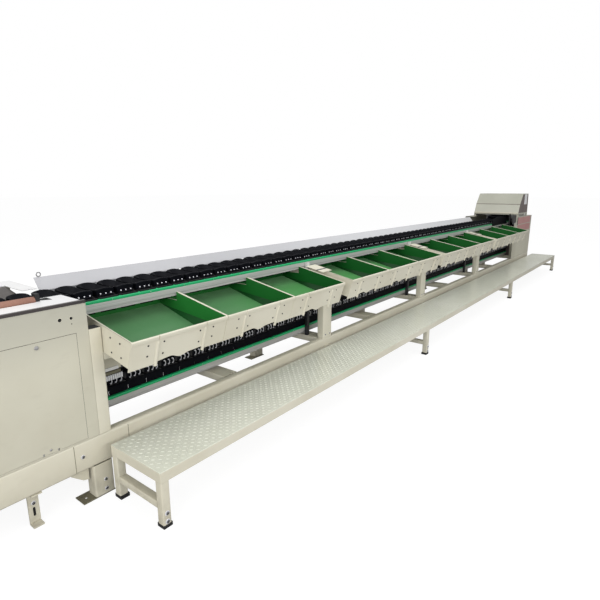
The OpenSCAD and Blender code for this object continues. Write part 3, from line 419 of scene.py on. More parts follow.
class Finish(Enum):
    """Every finish on the machine, by the record's slot or by the piece that it is for."""

    CREAM = PowderCoat("cream_coat", srgb(214, 210, 193), srgb(205, 200, 181))
    # Painted shade: a darker copy of the cream for both cabinets, which turns darker still towards their tops.
    CABINET = PowderCoat("cabinet_coat", srgb(200, 197, 180), srgb(192, 188, 170), far=srgb(180, 178, 164),
                         fade=(0.70, 1.02))
    # Painted shade: a darker, greyer copy of the cream for the hood at the far end, where the light falls off.
    HOOD = PowderCoat("hood_coat", srgb(182, 182, 168), srgb(174, 174, 160), grime=0.2)
    HOOD_SIDE = PowderCoat("hood_side_coat", srgb(104, 88, 84), srgb(90, 76, 72), grime=0.1)
    WHITE = PowderCoat("white_coat", srgb(240, 240, 240), srgb(226, 226, 228), roughness=0.30, grime=0.15)
    # Painted light: the guard is darker at the near end and turns paler towards the far end along X.
    GUARD = PowderCoat("guard_coat", srgb(168, 168, 172), srgb(162, 162, 166), grime=0.15, coat=0.8,
                       far=srgb(208, 209, 212), fade_axis="X", fade=(-4.4, 0.5))
    PLATE_RED = PowderCoat("pale_red_coat", srgb(190, 138, 134), srgb(180, 124, 120), grime=0.1)
    CHECKER = PowderCoat("checker_coat", srgb(214, 216, 202), srgb(208, 211, 196), roughness=0.20, grime=0.12,
                         grime_height=0.9, coat=0.6)
    CHECKER_BAR = PowderCoat("checker_bar_coat", srgb(226, 228, 217), srgb(218, 220, 208), roughness=0.22,
                             grime=0.1, coat=0.6)
    BLUE = PowderCoat("machine_blue_coat", srgb(62, 78, 98), srgb(54, 68, 88))
    TRIM = PowderCoat("dark_trim_coat", srgb(58, 51, 51), srgb(44, 40, 40), grime=0.2)
    CHUTE = PowderCoat("chute_coat", srgb(70, 70, 74), srgb(56, 56, 60), grime=0.2)
    # Painted shade: near-black up to 0.70 m so that the rail uprights read as the shade around them, pale grey
    # above 0.74 m.
    UPRIGHT = PowderCoat("upright_coat", srgb(30, 30, 34), srgb(24, 24, 28), far=srgb(200, 200, 197),
                         fade=(0.70, 0.74))
    ALUMINIUM = Extrusion("rail_anodised", srgb(200, 200, 197), srgb(178, 178, 176))
    ZINC = PlatedSteel("zinc_plate", srgb(178, 178, 180), srgb(132, 126, 116))
    DARK_STEEL = PlatedSteel("black_steel", srgb(30, 30, 34), srgb(52, 50, 50), metallic=0.6, roughness=0.45)
    CLIP = PlatedSteel("bright_clip", srgb(232, 233, 238), srgb(188, 188, 194), metallic=0.35, roughness=0.30)
    BOLT = PlatedSteel("bolt_steel", srgb(112, 112, 114), srgb(70, 68, 66), metallic=0.95, roughness=0.16)
    PRIMER = PlatedSteel("olive_primer", srgb(120, 116, 96), srgb(88, 84, 68), metallic=0.1, roughness=0.6)
    IRON = PlatedSteel("black_enamel", srgb(26, 26, 28), srgb(48, 46, 44), metallic=0.2, roughness=0.5)
    # Painted light and shade: the paler bed on upward faces, the lighter rear of the bed and the darker far
    # walls.
    LINER = CushionSheet("cushion_green", srgb(34, 116, 46), srgb(82, 130, 86), srgb(94, 144, 98),
                         srgb(118, 172, 120), srgb(12, 84, 28), srgb(78, 142, 80))
    # Painted shade: an all-dark green for the corner fillets, for the shade where the cross walls meet the bed.
    LINER_SHADOW = CushionSheet("cushion_green_painted_shadow", srgb(24, 76, 34), srgb(24, 72, 32), srgb(28, 76, 36),
                              srgb(30, 78, 38), srgb(8, 58, 18), srgb(10, 60, 20), shine=0.15)
    GUIDE = Moulding("guide_green", srgb(16, 166, 102), srgb(70, 186, 136), roughness=0.38, wear=0.25)
    CUP = Moulding("cup_black", srgb(9, 10, 16), srgb(20, 21, 28), roughness=0.50, wear=0.30, shine=0.06)
    RUBBER = Moulding("pad_rubber", srgb(24, 24, 25), srgb(64, 62, 60), roughness=0.7, grain=500.0)
    # Painted shade: near-black for the shade inside holes, slots and openings.
    HOLE = Moulding("hole_dark", srgb(10, 10, 11), srgb(18, 18, 18), roughness=0.8)
    ROLLER = RollerNap("roller_nap", srgb(152, 112, 96), srgb(116, 80, 68))


SLOT_FINISH = {
    "cream_paint": Finish.CREAM, "steel": Finish.ZINC, "dark_steel": Finish.DARK_STEEL,
    "rail_aluminium": Finish.ALUMINIUM, "guide_green": Finish.GUIDE, "liner_green": Finish.LINER,
    "guard_paint": Finish.GUARD, "machine_blue": Finish.BLUE, "deck_white": Finish.WHITE,
    "dark_trim": Finish.TRIM, "roller_brown": Finish.ROLLER, "block_black": Finish.IRON,
    "strap_black": Finish.RUBBER, "plate_red": Finish.PLATE_RED, "cup_black": Finish.CUP,
    "checker_plate": Finish.CHECKER, "pad_rubber": Finish.RUBBER,
}


class Paints:
    """Makes each finish's material once."""

    def __init__(self) -> None:
        """Starts with no material made."""
        self._made: dict[Finish, bpy.types.Material] = {}

    def get(self, finish: Finish) -> bpy.types.Material:
        """The material of one finish."""
        if finish not in self._made:
            self._made[finish] = finish.value.make()
        return self._made[finish]


# Surfaces as arrays


@dataclass
class Surface:
    """Points in metres and faces, an (n, 4) array in which -1 stands for a triangle's missing corner."""

    points: Array
    faces: Array

    def copies(self, matrices: Array, offsets: Array) -> Surface:
        """Copies of this surface, all points worked out as one array.

        Args:
            matrices: Turns, (n, 3, 3).
            offsets: Shifts, (n, 3).

        Returns:
            One surface that holds all the copies.
        """
        points = np.einsum("nij,pj->npi", matrices, self.points) + offsets[:, None, :]
        shift = (np.arange(len(offsets)) * len(self.points))[:, None, None]
        faces = np.where(self.faces[None] < 0, -1, self.faces[None] + shift)
        return Surface(points.reshape(-1, 3), faces.reshape(-1, 4))


def joined(surfaces: Iterable[Surface]) -> Surface:
    """Several surfaces as one."""
    items = list(surfaces)
    starts = np.cumsum([0] + [len(s.points) for s in items[:-1]])
    faces = [np.where(s.faces < 0, -1, s.faces + start) for s, start in zip(items, starts)]
    return Surface(np.concatenate([s.points for s in items]), np.concatenate(faces))


def stacked(x: Any, y: Any, z: Any) -> Array:
    """Three coordinates, of any shapes that fit together, as one array of points."""
    return np.stack(np.broadcast_arrays(x, y, z), -1)


def grid_faces(rows: int, columns: int, wrap_rows: bool = False, wrap_columns: bool = False) -> Array:
    """Quads of a grid of points that is stored row by row.

    Args:
        rows: Number of rows.
        columns: Number of columns.
        wrap_rows: Whether the last row joins the first.
        wrap_columns: Whether the last column joins the first.

    Returns:
        The quads, (n, 4).
    """
    i = np.arange(rows if wrap_rows else rows - 1)[:, None]
    j = np.arange(columns if wrap_columns else columns - 1)[None, :]
    i2, j2 = (i + 1) % rows, (j + 1) % columns
    corners = (i * columns + j, i2 * columns + j, i2 * columns + j2, i * columns + j2)
    return np.stack(corners, axis=-1).reshape(-1, 4)


def slab(outer: Array, inner: Array) -> Surface:
    """A closed shell between two like grids of points.

    The outer grid and the turned-round inner grid are joined by a strip of quads along each of the four
    borders. The outer grid's normal is d/drow x d/dcolumn.

    Args:
        outer: Points (rows, columns, 3).
        inner: Points (rows, columns, 3), across the thickness.

    Returns:
        The shell.
    """
    rows, columns = outer.shape[:2]
    count = rows * columns
    faces = grid_faces(rows, columns)
    index = np.arange(count).reshape(rows, columns)
    loop = np.concatenate([index[0, :-1], index[:-1, -1], index[-1, :0:-1], index[:0:-1, 0]])
    after = np.roll(loop, -1)
    rim = np.stack([loop, after, after + count, loop + count], axis=-1)
    points = np.concatenate([outer.reshape(-1, 3), inner.reshape(-1, 3)])
    return Surface(points, np.concatenate([faces, faces[:, ::-1] + count, rim]))


def box_faces() -> Array:
    """Faces of a chamfered box: six sides, twelve edge strips and eight corner triangles.

    Point 3 c + m is corner c, counted with Z fastest, at its full reach on axis m and drawn in on the others.

    Returns:
        The faces, (26, 4).
    """

    def point(axis: int, signs: Triple, full: int) -> int:
        """Number of the point with the given signs, counted from one axis on, and full reach on another."""
        return int((np.roll(signs, axis) > 0) @ (4, 2, 1)) * 3 + full

    ring = ((-1, -1), (1, -1), (1, 1), (-1, 1))
    faces: list[list[int]] = []
    for k in range(3):
        a, b = (k + 1) % 3, (k + 2) % 3
        faces += [[point(k, (s, p, q), k) for p, q in ring[::s]] for s in (-1, 1)]
        for p, q in ((-1, -1), (-1, 1), (1, -1), (1, 1)):
            quad = [point(k, (s, p, q), m) for s, m in ((-1, a), (1, a), (1, b), (-1, b))]
            faces.append(quad if p * q < 0 else quad[::-1])
    for c in range(8):
        corner = [c * 3, c * 3 + 1, c * 3 + 2]
        faces.append((corner if c in (1, 2, 4, 7) else corner[::-1]) + [-1])
    return np.array(faces)


BOX_SIGNS = np.array([[x, y, z] for x in (-1, 1) for y in (-1, 1) for z in (-1, 1)], float)[:, None, :]
BOX_FACES = box_faces()


def box_slab(low: Array, high: Array, edge: float) -> Surface:
    """A box with chamfered edges: each of its 24 points is a corner drawn in along two of the axes.

    Args:
        low: Lowest corner.
        high: Highest corner.
        edge: Width of the chamfer.

    Returns:
        The closed box.
    """
    points = BOX_SIGNS * (high - low) / 2 - BOX_SIGNS * edge * (1 - np.eye(3))
    return Surface((points + (high + low) / 2).reshape(-1, 3), BOX_FACES)


def rounded_rectangle(width: float, height: float, radius: float, steps: int = 4) -> Array:
    """Outline of a rounded rectangle about the origin, anticlockwise: four quarter circles in turn."""
    angle = (np.arange(4)[:, None] + np.linspace(0, 1, steps + 1)[None, :]) * math.pi / 2
    corner = np.array([[1, 1], [-1, 1], [-1, -1], [1, -1]]) * (np.array([width, height]) / 2 - radius)
    return (corner[:, None, :] + radius * np.stack([np.cos(angle), np.sin(angle)], -1)).reshape(-1, 2)


def capped(rings: Array, hubs: Array) -> Surface:
    """Rings of points joined by quads, the first and the last closed by a fan of triangles.

    Args:
        rings: Points (rings, n, 3).
        hubs: The middle points of the two fans, (2, 3).

    Returns:
        The closed surface.
    """
    count, n = rings.shape[:2]
    k, after, none = np.arange(n), np.roll(np.arange(n), -1), np.full(n, -1)
    total, top = count * n, (count - 1) * n
    low = np.stack([after, k, np.full(n, total), none], -1)
    high = np.stack([top + k, top + after, np.full(n, total + 1), none], -1)
    faces = grid_faces(count, n, wrap_columns=True)[:, ::-1]
    return Surface(np.concatenate([rings.reshape(-1, 3), hubs]), np.concatenate([faces, low, high]))


def carried(outline: Array, along: Axis, start: float, end: float, edge: float = 0.0) -> Surface:
    """A closed outline carried along a row axis, with flat ends whose edge is drawn in a little.

    Args:
        outline: Points (n, 2) in the other two axes, taken in X, Y, Z order after the axis (cyclic).
        along: The axis.
        start: Start on the axis.
        end: End on the axis.
        edge: Chamfer at both ends.

    Returns:
        The closed bar.
    """
    a, b = (along + 1) % 3, (along + 2) % 3
    centre = outline.mean(axis=0)
    small = centre + (outline - centre) * (1 - edge / np.abs(outline - centre).max())
    rings = [(small, start), (outline, start + edge), (outline, end - edge), (small, end)]
    if edge == 0.0:
        rings = [(outline, start), (outline, end)]
    points, hubs = np.zeros((len(rings), len(outline), 3)), np.zeros((2, 3))
    for k, (ring, where) in enumerate(rings):
        points[k, :, along], points[k, :, a], points[k, :, b] = where, ring[:, 0], ring[:, 1]
    hubs[:, along], hubs[:, a], hubs[:, b] = (start, end), centre[0], centre[1]
    return capped(points, hubs)


def tube(low: Array, high: Array, along: Axis, wall: float, radius: float) -> Surface:
    """A rounded rectangular tube between two corners, open at both ends.

    The outer and inner outlines are rounded rectangles, and a ring of quads closes the wall at each end.

    Args:
        low: Lowest corner.
        high: Highest corner.
        along: The tube's axis.
        wall: Wall thickness.
        radius: Outer corner radius.

    Returns:
        The closed tube wall.
    """
    a, b = (along + 1) % 3, (along + 2) % 3
    size, mid = high - low, (high + low) / 2
    outer = rounded_rectangle(size[a], size[b], radius)
    inner = rounded_rectangle(size[a] - 2 * wall, size[b] - 2 * wall, max(radius - wall, wall / 3))
    rings = np.stack([outer, outer, inner, inner])
    points = np.zeros((4, len(outer), 3))
    points[:, :, along] = np.array([low[along], high[along], high[along], low[along]])[:, None]
    points[:, :, a] = rings[:, :, 0] + mid[a]
    points[:, :, b] = rings[:, :, 1] + mid[b]
    return Surface(points.reshape(-1, 3), grid_faces(4, len(outer), True, True)[:, ::-1])


def lathe(profile: Sequence[Pair], steps: int) -> Surface:
    """A profile of (radius, height) in millimetres turned about Z, closed by a flat disc at each end."""
    radii, heights = np.array(profile).T * MM
    angle = np.arange(steps) * 2 * math.pi / steps
    wide, level = radii[:, None], heights[:, None]
    ends = stacked(0.0, 0.0, heights[[0, -1]])
    return capped(stacked(wide * np.cos(angle), wide * np.sin(angle), level), ends)


def hex_bolt(radius: float, height: float, washer: float, levels: Triple) -> tuple[Surface, Surface]:
    """A domed hexagon head and its round washer about Z.

    Args:
        radius: Radius of the head in millimetres.
        height: Height of the head in millimetres.
        washer: The washer's radius as a share of the head's.
        levels: The head's foot and tip and the washer's top, as shares of the height.

    Returns:
        The head and the washer.
    """
    foot, tip, top = levels
    head = ((1.0, foot), (1.0, 0.7), (0.8, 1.0), (0.35, tip))
    ring = ((washer, -0.1), (washer, 0.2), (0.96 * washer, top))
    return lathe(np.array(head) * (radius, height), 6), lathe(np.array(ring) * (radius, height), 20)


def turn_about(axis: Axis, angles: Array) -> Array:
    """Turn matrices about a row axis, one for each angle in radians."""
    c, s = np.cos(angles), np.sin(angles)
    a, b = (axis + 1) % 3, (axis + 2) % 3
    out = np.zeros((len(angles), 3, 3))
    out[:, axis, axis] = 1
    out[:, a, a], out[:, a, b], out[:, b, a], out[:, b, b] = c, -s, s, c
    return out


def smoothstep(low: Any, high: Any, x: Array) -> Array:
    """0 below low, 1 above high, and 3t^2 - 2t^3 between."""
    t = np.clip((x - low) / (high - low), 0, 1)
    return t * t * (3 - 2 * t)


# Making pieces


class Workshop:
    """Puts surfaces into Blender, dresses CAD nodes and keeps count of what was made."""

    BEVEL_ANGLE = 40.0
    FLAT_ANGLE = 0.6
    MERGE = 2e-6
    GRID = 1e-5

    def __init__(self, frame: dict[str, Any]) -> None:
        """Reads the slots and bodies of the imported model."""
        self.nodes: dict[str, bpy.types.Object] = frame["nodes"]
        self.paints = Paints()
        self.slots = {s["node"]: s["material_slot"] for s in frame["record"]["subparts"]}
        self.bodies = {n: b for b, names in frame["record"]["behaviour"]["bodies"].items() for n in names}
        self.replaced: set[str] = set()
        deck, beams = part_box("infeed_deck"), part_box("base_beams")
        self.origin = np.array([deck[1][0], beams[0][1], 0.0])

    def at(self, points: Any) -> Array:
        """Points in metres, given in millimetres from the cabinet's lane end, the frame's front and the floor."""
        return self.origin + np.asarray(points) * MM

    def span(self, node: str) -> tuple[Array, Array]:
        """Lowest and highest corner of a CAD node, in the millimetres of at()."""
        low, high = ((np.array(c) - self.origin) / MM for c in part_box(node))
        return low, high

    def block(self, low: Sequence[float], high: Sequence[float], edge: float) -> Surface:
        """A chamfered box between two corners, in the millimetres of at()."""
        return box_slab(self.at(low), self.at(high), edge * MM)

    def sheet(self, grid: Array, shift: Sequence[float]) -> Surface:
        """A closed sheet between a grid of points and its shifted copy, in the millimetres of at()."""
        return slab(self.at(grid), self.at(grid + np.array(shift)))

    def plate(self, outline: Outline, ends: Pair) -> Surface:
        """An upright plate with an (x, z) outline between two y, in the millimetres of at()."""
        rim = self.at([(x, 0.0, z) for x, z in outline])
        start, end = self.origin[1] + np.array(ends) * MM
        return carried(rim[:, [2, 0]], Axis.Y, start, end)

    def piece(self, name: str, surface: Surface, finish: Finish, slot: str, body: str = Body.FRAME,
              nodes: Sequence[str] = (), sharp: float = SHARP) -> None:
        """Makes one object from a surface.

        Args:
            name: The piece's name.
            surface: Its points and faces.
            finish: Its finish.
            slot: The record's slot that the finish belongs to; not used.
            body: The body that it rides on.
            nodes: CAD nodes that it stands for.
            sharp: Angle in degrees past which an edge stays sharp.
        """
        mesh = bpy.data.meshes.new(name)
        counts = np.where(surface.faces[:, 3] < 0, 3, 4).astype(np.int32)
        loops = surface.faces[surface.faces >= 0].astype(np.int32)
        mesh.vertices.add(len(surface.points))
        mesh.vertices.foreach_set("co", surface.points.astype(np.float32).ravel())
        mesh.loops.add(len(loops))
        mesh.loops.foreach_set("vertex_index", loops)
        mesh.polygons.add(len(counts))
        mesh.polygons.foreach_set("loop_start", (np.cumsum(counts) - counts).astype(np.int32))
        mesh.update(calc_edges=True)
        mesh.validate()
        self._finish_mesh(name, mesh, finish, body, nodes, sharp)

    def _finish_mesh(self, name: str, mesh: bpy.types.Mesh, finish: Finish, body: str,
                     nodes: Sequence[str], sharp: float) -> bpy.types.Object:
        """Turns faces outwards, shades them, and links the object to its body and nodes."""
        work = bmesh.new()
        work.from_mesh(mesh)
        bmesh.ops.recalc_face_normals(work, faces=work.faces)
        work.to_mesh(mesh)
        work.free()
        mesh.shade_smooth()
        mesh.set_sharp_from_angle(angle=math.radians(sharp))
        mesh.materials.append(self.paints.get(finish))
        made = bpy.data.objects.new(name, mesh)
        bpy.context.scene.collection.objects.link(made)
        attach(made, body)
        if nodes:
            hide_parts(*nodes)
            self.replaced.update(nodes)
        LOG.info("%s: %d faces on %s", name, len(mesh.polygons), body)
        return made

    def softened(self, node: str, edge: float, finish: Finish | None = None) -> None:
        """A merged copy of a CAD node with small bevelled edges, standing for that node.

        Args:
            node: The CAD node.
            edge: Bevel width in millimetres.
            finish: The finish, or None for that of the node's slot.
        """
        mesh = self.nodes[node].data.copy()
        mesh.materials.clear()
        work = bmesh.new()
        work.from_mesh(mesh)
        bmesh.ops.remove_doubles(work, verts=work.verts, dist=self.MERGE)
        flat = math.radians(self.FLAT_ANGLE)
        bmesh.ops.dissolve_limit(work, angle_limit=flat, verts=work.verts, edges=work.edges)
        work.to_mesh(mesh)
        work.free()
        slot, body = self.slots[node], self.bodies[node]
        paint = finish or SLOT_FINISH[slot]
        made = self._finish_mesh(f"{node}_skin", mesh, paint, body, [node], SHARP)
        bevel = made.modifiers.new("edges", "BEVEL")
        bevel.width = edge * MM
        bevel.segments = 2
        bevel.limit_method = "ANGLE"
        bevel.angle_limit = math.radians(self.BEVEL_ANGLE)

    def solids(self, node: str) -> Array:
        """Boxes of a node's separate solids in metres, (n, 2, 3).

        Points at the same place are one; each edge passes the lower of its ends' labels on until none changes.
        """
        mesh = self.nodes[node].data
        points = np.zeros(len(mesh.vertices) * 3, np.float32)
        mesh.vertices.foreach_get("co", points)
        edges = np.zeros(len(mesh.edges) * 2, np.int32)
        mesh.edges.foreach_get("vertices", edges)
        cells = np.round(points.reshape(-1, 3) / self.GRID).astype(np.int64)
        keys, where = np.unique(cells, axis=0, return_inverse=True)
        a, b = where.reshape(-1)[edges.reshape(-1, 2)].T
        label = np.arange(len(keys))
        while True:
            low = np.minimum(label[a], label[b])
            new = label.copy()
            np.minimum.at(new, a, low)
            np.minimum.at(new, b, low)
            new = new[new]
            if np.array_equal(new, label):
                break
            label = new
        groups = [keys[label == k] * self.GRID for k in np.unique(label)]
        return np.array([[g.min(axis=0), g.max(axis=0)] for g in groups])

    def dress_rest(self) -> None:
        """Gives every CAD node that still shows the finish of its slot."""
        for name, node in self.nodes.items():
            if name in self.replaced:
                continue
            node.data.materials.clear()
            node.data.materials.append(self.paints.get(SLOT_FINISH[self.slots[name]]))
            LOG.info("%s: kept from the CAD", name)


# Frame of rounded tubes


@dataclass
class TubeFrame:
    """All the rectangular tubes, drawn with rounded corners in the boxes of their CAD solids."""

    shop: Workshop
    wall: float = 3.0
    radii: Sizes = (("base_beams", 14.0), ("cross_members", 6.0), ("frame_posts", 6.0), ("top_rails", 5.0),
                    ("foot_tubes", 9.0), ("rail_uprights", 4.0), ("bearing_stands", 6.0),
                    ("platform_legs", 6.0))
    upright: tuple[str, ...] = ("frame_posts", "foot_tubes", "rail_uprights", "bearing_stands")
    post_shade_deep: float = 6.0
    post_shade_proud: float = 1.5
    post_shade_edge: float = 0.5

    def build(self) -> None:
        """Makes one piece for each tube node; a tube stands up or runs along the longest side of its box."""
        shop = self.shop
        for node, radius in self.radii:
            parts = []
            for low, high in shop.solids(node):
                along = Axis.Z if node in self.upright else Axis(int(np.argmax(high - low)))
                parts.append(tube(low, high, along, self.wall * MM, radius * MM))
            slot = shop.slots[node]
            # The rail uprights take the near-black upright coat: painted shade.
            paint = Finish.UPRIGHT if node == "rail_uprights" else SLOT_FINISH[slot]
            shop.piece(f"{node}_tubes", joined(parts), paint, slot, nodes=[node])
        # A near-black block in the open top of the nearest post: painted shade inside the tube.
        posts = shop.solids("frame_posts")
        low, high = posts[np.lexsort((posts[:, 0, 1], posts[:, 0, 0].round(2)))[0]]
        inset = np.array([self.wall, self.wall, 0.0]) * MM
        foot = np.array([low[0], low[1], high[2] - self.post_shade_deep * MM]) + inset
        top = high - inset + np.array([0.0, 0.0, self.post_shade_proud]) * MM
        shop.piece("post_top_shade", box_slab(foot, top, self.post_shade_edge * MM), Finish.HOLE, "block_black")


# Trays


@dataclass
class TrayGroup:
    """Three lined compartments behind one leaning front panel, with screws and the plate to the next group."""

    shop: Workshop
    number: int
    outlets: int = 3
    reach: float = 245.0
    rim: float = 853.0
    rim_slope: float = 0.1831
    drop: float = 138.0
    lean: float = 42.0
    sheet: float = 3.0
    floor_slope: float = 0.2033
    rail_tall: float = 46.0
    under_rail: float = 30.0
    behind_lane: float = 14.0
    lip_height: float = 24.0
    lip_depth: float = 7.0
    lip_rows: tuple[float, ...] = (0, 0.5, 2, 5, 9, 15, 19, 22, 23.5, 24)
    face_rows: tuple[float, ...] = (26, 30, 36, 42, 50, 75, 105, 132)
    hem_rows: tuple[float, ...] = (0.35, 0.7, 1.0)
    rib_width: float = 18.0
    rib_depth: float = 8.0
    rib_offset: float = 150.0
    rib_start: Pair = (4.0, 14.0)
    rib_columns: tuple[float, ...] = (-1.02, -0.98, -0.8, -0.5, -0.12, 0.12, 0.5, 0.8, 0.98, 1.02)
    notch: float = 4.0
    seam_columns: tuple[float, ...] = (-2.2, -1.4, 1.4, 2.2)
    seam_half: float = 1.5
    seam_deep: float = 0.7
    end_column: float = 2.0
    even_columns: int = 13
    skirt: float = 20.0
    tab: float = 10.0
    wave_at: tuple[float, ...] = (0.0, 0.3, 0.5, 0.72, 1.0)
    wave_drop: tuple[float, ...] = (0.35, 0.0, 1.0, 0.35, 0.2)
    wave_columns: int = 25
    wave_margin: float = 14.0
    flange: float = 13.0
    flange_crown: float = 1.6
    flange_deep: float = 2.0
    flange_clear: float = 16.0
    liner: float = 4.0
    liner_sag: float = 1.5
    liner_sink: float = 2.5
    gap: float = 0.3
    fillet_wide: float = 52.0
    fillet_tall: float = 60.0
    fillet_clear: float = 2.0
    bridge: Pair = (-62.0, 63.0)
    bridge_ys: Four = (-8.0, 40.0, 58.0, 158.0)
    bridge_over: float = 3.0
    screw: Outline = ((5.0, -0.5), (5.0, 0.8), (4.2, 2.2), (2.2, 2.9))
    face_screws: Outline = ((55.0, 44.0), (55.0, 104.0), (-36.0, 44.0), (-36.0, 112.0))
    end_screws: Outline = ((-150.0, 830.0), (-150.0, 760.0), (-70.0, 845.0), (-70.0, 770.0))
    screw_margin: float = 10.0

    def __post_init__(self) -> None:
        """Reads the group's place and the rail that it hangs on from the frame."""
        low, high = self.shop.span(f"tray_body_{self.number}")
        rail_low, rail_high = self.shop.span("track_rails")
        self.start, self.length = low[0], high[0] - low[0]
        self.cell = self.length / self.outlets
        self.hang_y = rail_low[1]
        self.hang_z = rail_high[2] - self.rail_tall / 2
        self.back_y = (rail_low[1] + rail_high[1]) / 2 + self.behind_lane
        self.back_top = rail_high[2] - self.rail_tall - self.under_rail
        self.face = math.hypot(self.lean, self.drop)
        self.foot_y = -self.reach + self.lean
        self.foot_z = self.rim - self.drop

    def floor_z(self, y: Array) -> Array:
        """Height of the floor's underside at y: it rises evenly from the front panel's foot."""
        return self.foot_z + (y - self.foot_y) * self.floor_slope

    def rim_z(self, y: Array) -> Array:
        """Height of the walls' top at y: a straight line from the front rim to the rail."""
        return self.rim + (y + self.reach) / (self.hang_y + self.reach) * (self.hang_z - self.rim)

    def world(self, x: Any, y: Any, z: Any) -> Array:
        """Points in metres from three coordinates in millimetres."""
        return self.shop.at(stacked(x, y, z))

    def on_face(self, along: Array, down: Array, out: Array) -> Array:
        """Points on the leaning face: along X, down the face and out of it."""
        c, s = self.drop / self.face, self.lean / self.face
        return self.world(self.start + along, -self.reach + down * s - out * c, self.rim - down * c - out * s)

    def middles(self) -> Array:
        """Middles of the compartments along the panel, as a column."""
        return (np.arange(self.outlets)[:, None] + 0.5) * self.cell

    def ribs(self) -> Array:
        """Places of the ribs along the panel, two in each compartment."""
        return (self.middles() + np.array([-1, 1]) * self.rib_offset).ravel()

    def hem(self, along: Array) -> Array:
        """How far the panel reaches down the face: straight skirts, tabs at the ribs, a wave between them."""
        share = np.mod(along, self.cell) - self.cell / 2
        n = (share + self.rib_offset) / (2 * self.rib_offset)
        k = np.clip(np.searchsorted(self.wave_at, n, "right") - 1, 0, len(self.wave_at) - 2)
        at, drop = np.array(self.wave_at), np.array(self.wave_drop)
        wave = drop[k] + (drop[k + 1] - drop[k]) * smoothstep(at[k], at[k + 1], n)
        reach = np.where((n > 0) & (n < 1), self.face + 1 + wave * self.skirt, self.face + self.skirt)
        near = np.abs(along[:, None] - self.ribs()).min(axis=1)
        return np.where(near < self.rib_width / 2, self.face + self.skirt + self.tab, reach)

    def columns(self, seams: Array) -> Array:
        """Places of the front panel's columns of points: close at ribs, seams and ends, and along the waves."""
        ends = [0.0, self.end_column, self.length - self.end_column, self.length]
        ribs = self.ribs()[:, None] + np.array(self.rib_columns) * self.rib_width / 2
        waves = self.middles() + np.linspace(-1, 1, self.wave_columns) * (self.rib_offset - self.wave_margin)
        even = np.linspace(0, self.length, self.even_columns)
        grooves = seams[:, None] + np.array(self.seam_columns)
        u = np.unique(np.concatenate([ends, ribs.ravel(), grooves.ravel(), waves.ravel(), even]).round(3))
        return u[(u >= 0) & (u <= self.length)]

    def front(self) -> Surface:
        """The front panel: a sheet whose outside stands out by the rolled rim and the ribs.

        The rim is a fourth-power round, (1 - |2v - 1|^4)^(1/4), cut by a narrow notch at each rib; a rib is
        (1 - r^2)^0.6 across and fades in below the rim.
        """
        seams = np.arange(1, self.outlets) * self.cell
        u = self.columns(seams)
        lip = np.array(self.lip_rows) / self.lip_rows[-1] * self.lip_height
        v = np.concatenate([lip, self.face_rows])
        tail = v[-1] + np.array(self.hem_rows)[:, None] * (self.hem(u) - v[-1])
        down = np.concatenate([np.repeat(v[:, None], len(u), 1), tail])
        t = np.clip(down / self.lip_height, 0, 1)
        roll = self.lip_depth * np.clip(1 - np.abs(2 * t - 1) ** 4, 0, 1) ** 0.25
        near = np.abs(u[:, None] - self.ribs()).min(axis=1)
        cut = smoothstep(self.notch / 2 - 1.0, self.notch / 2, near)
        across = np.clip(1 - (near / (self.rib_width / 2)) ** 2, 0, 1) ** 0.6
        fade = smoothstep(*(self.lip_height + below for below in self.rib_start), down)
        seam = np.abs(u[:, None] - seams).min(axis=1) < self.seam_half
        stand = np.maximum(roll * cut, self.rib_depth * across * fade)
        out = np.where(seam, -self.sheet * self.seam_deep, stand)
        return slab(self.on_face(u, down, out), self.on_face(u, down, np.full_like(out, -self.sheet)))

    def patch(self, x: float, corners: Sequence[Pair], thick: float) -> Surface:
        """A plate across X between x and x + thick, a bilinear patch over four (y, z) corners."""
        p = np.array(corners, float)
        s, t = np.linspace(0, 1, 7)[:, None, None], np.linspace(0, 1, 5)[None, :, None]
        yz = p[0] * (1 - s) * (1 - t) + p[1] * s * (1 - t) + p[2] * s * t + p[3] * (1 - s) * t
        return self.shop.sheet(stacked(x, yz[..., 0], yz[..., 1]), (thick, 0.0, 0.0))

    def side(self, x: float, inset: float, thick: float, sink: float) -> list[Surface]:
        """One cross wall: a front patch up to the rail and a low one under it."""
        off, rail, back = self.sheet + inset, self.hang_y - inset, self.back_y - inset
        foot, face, top = self.foot_y + off, -self.reach + off, self.back_top - sink
        mid = (rail, self.floor_z(rail) + off)
        first = [(foot, self.floor_z(foot) + off), mid,
                 (rail, self.rim_z(rail) - sink), (face, self.rim_z(face) - sink)]
        second = [mid, (back, self.floor_z(back) + off), (back, top), (rail, top)]
        return [self.patch(x, first, thick), self.patch(x, second, thick)]

    def strip(self, x: float, width: float) -> Surface:
        """A folded top flange along the rim line, slightly crowned across its width."""
        y = np.linspace(-self.reach + self.sheet, self.hang_y - self.flange_clear, 9)[:, None]
        across = np.linspace(-0.5, 0.5, 5)[None, :] * width
        crown = self.flange_crown * (1 - (2 * across / width) ** 4)
        rim = self.rim_z(y)
        return slab(self.world(x + across, y, rim + crown), self.world(x + across, y, rim - self.flange_deep))

    def sheet_between(self, ends: Pair, low: Pair, high: Pair, thick: float, sag: float = 0.0) -> Surface:
        """A sheet between two (y, z) lines, its top waving by sag sin(3 pi s) sin(2 pi t).

        Args:
            ends: Its two ends along X.
            low: The line that it starts from.
            high: The line that it ends at.
            thick: Its thickness.
            sag: Height of the wave.

        Returns:
            The closed sheet.
        """
        s, t = np.linspace(0, 1, 13)[:, None], np.linspace(0, 1, 9)[None, :]
        x = ends[0] + (ends[1] - ends[0]) * s
        run, rise = high[0] - low[0], high[1] - low[1]
        y, z = low[0] + run * t, low[1] + rise * t
        lift = sag * (1 + np.sin(3 * np.pi * s) * np.sin(2 * np.pi * t)) / 2
        scale = thick / math.hypot(run, rise)
        return slab(self.world(x, y - rise * scale, z + run * scale + lift), self.world(x, y, z))

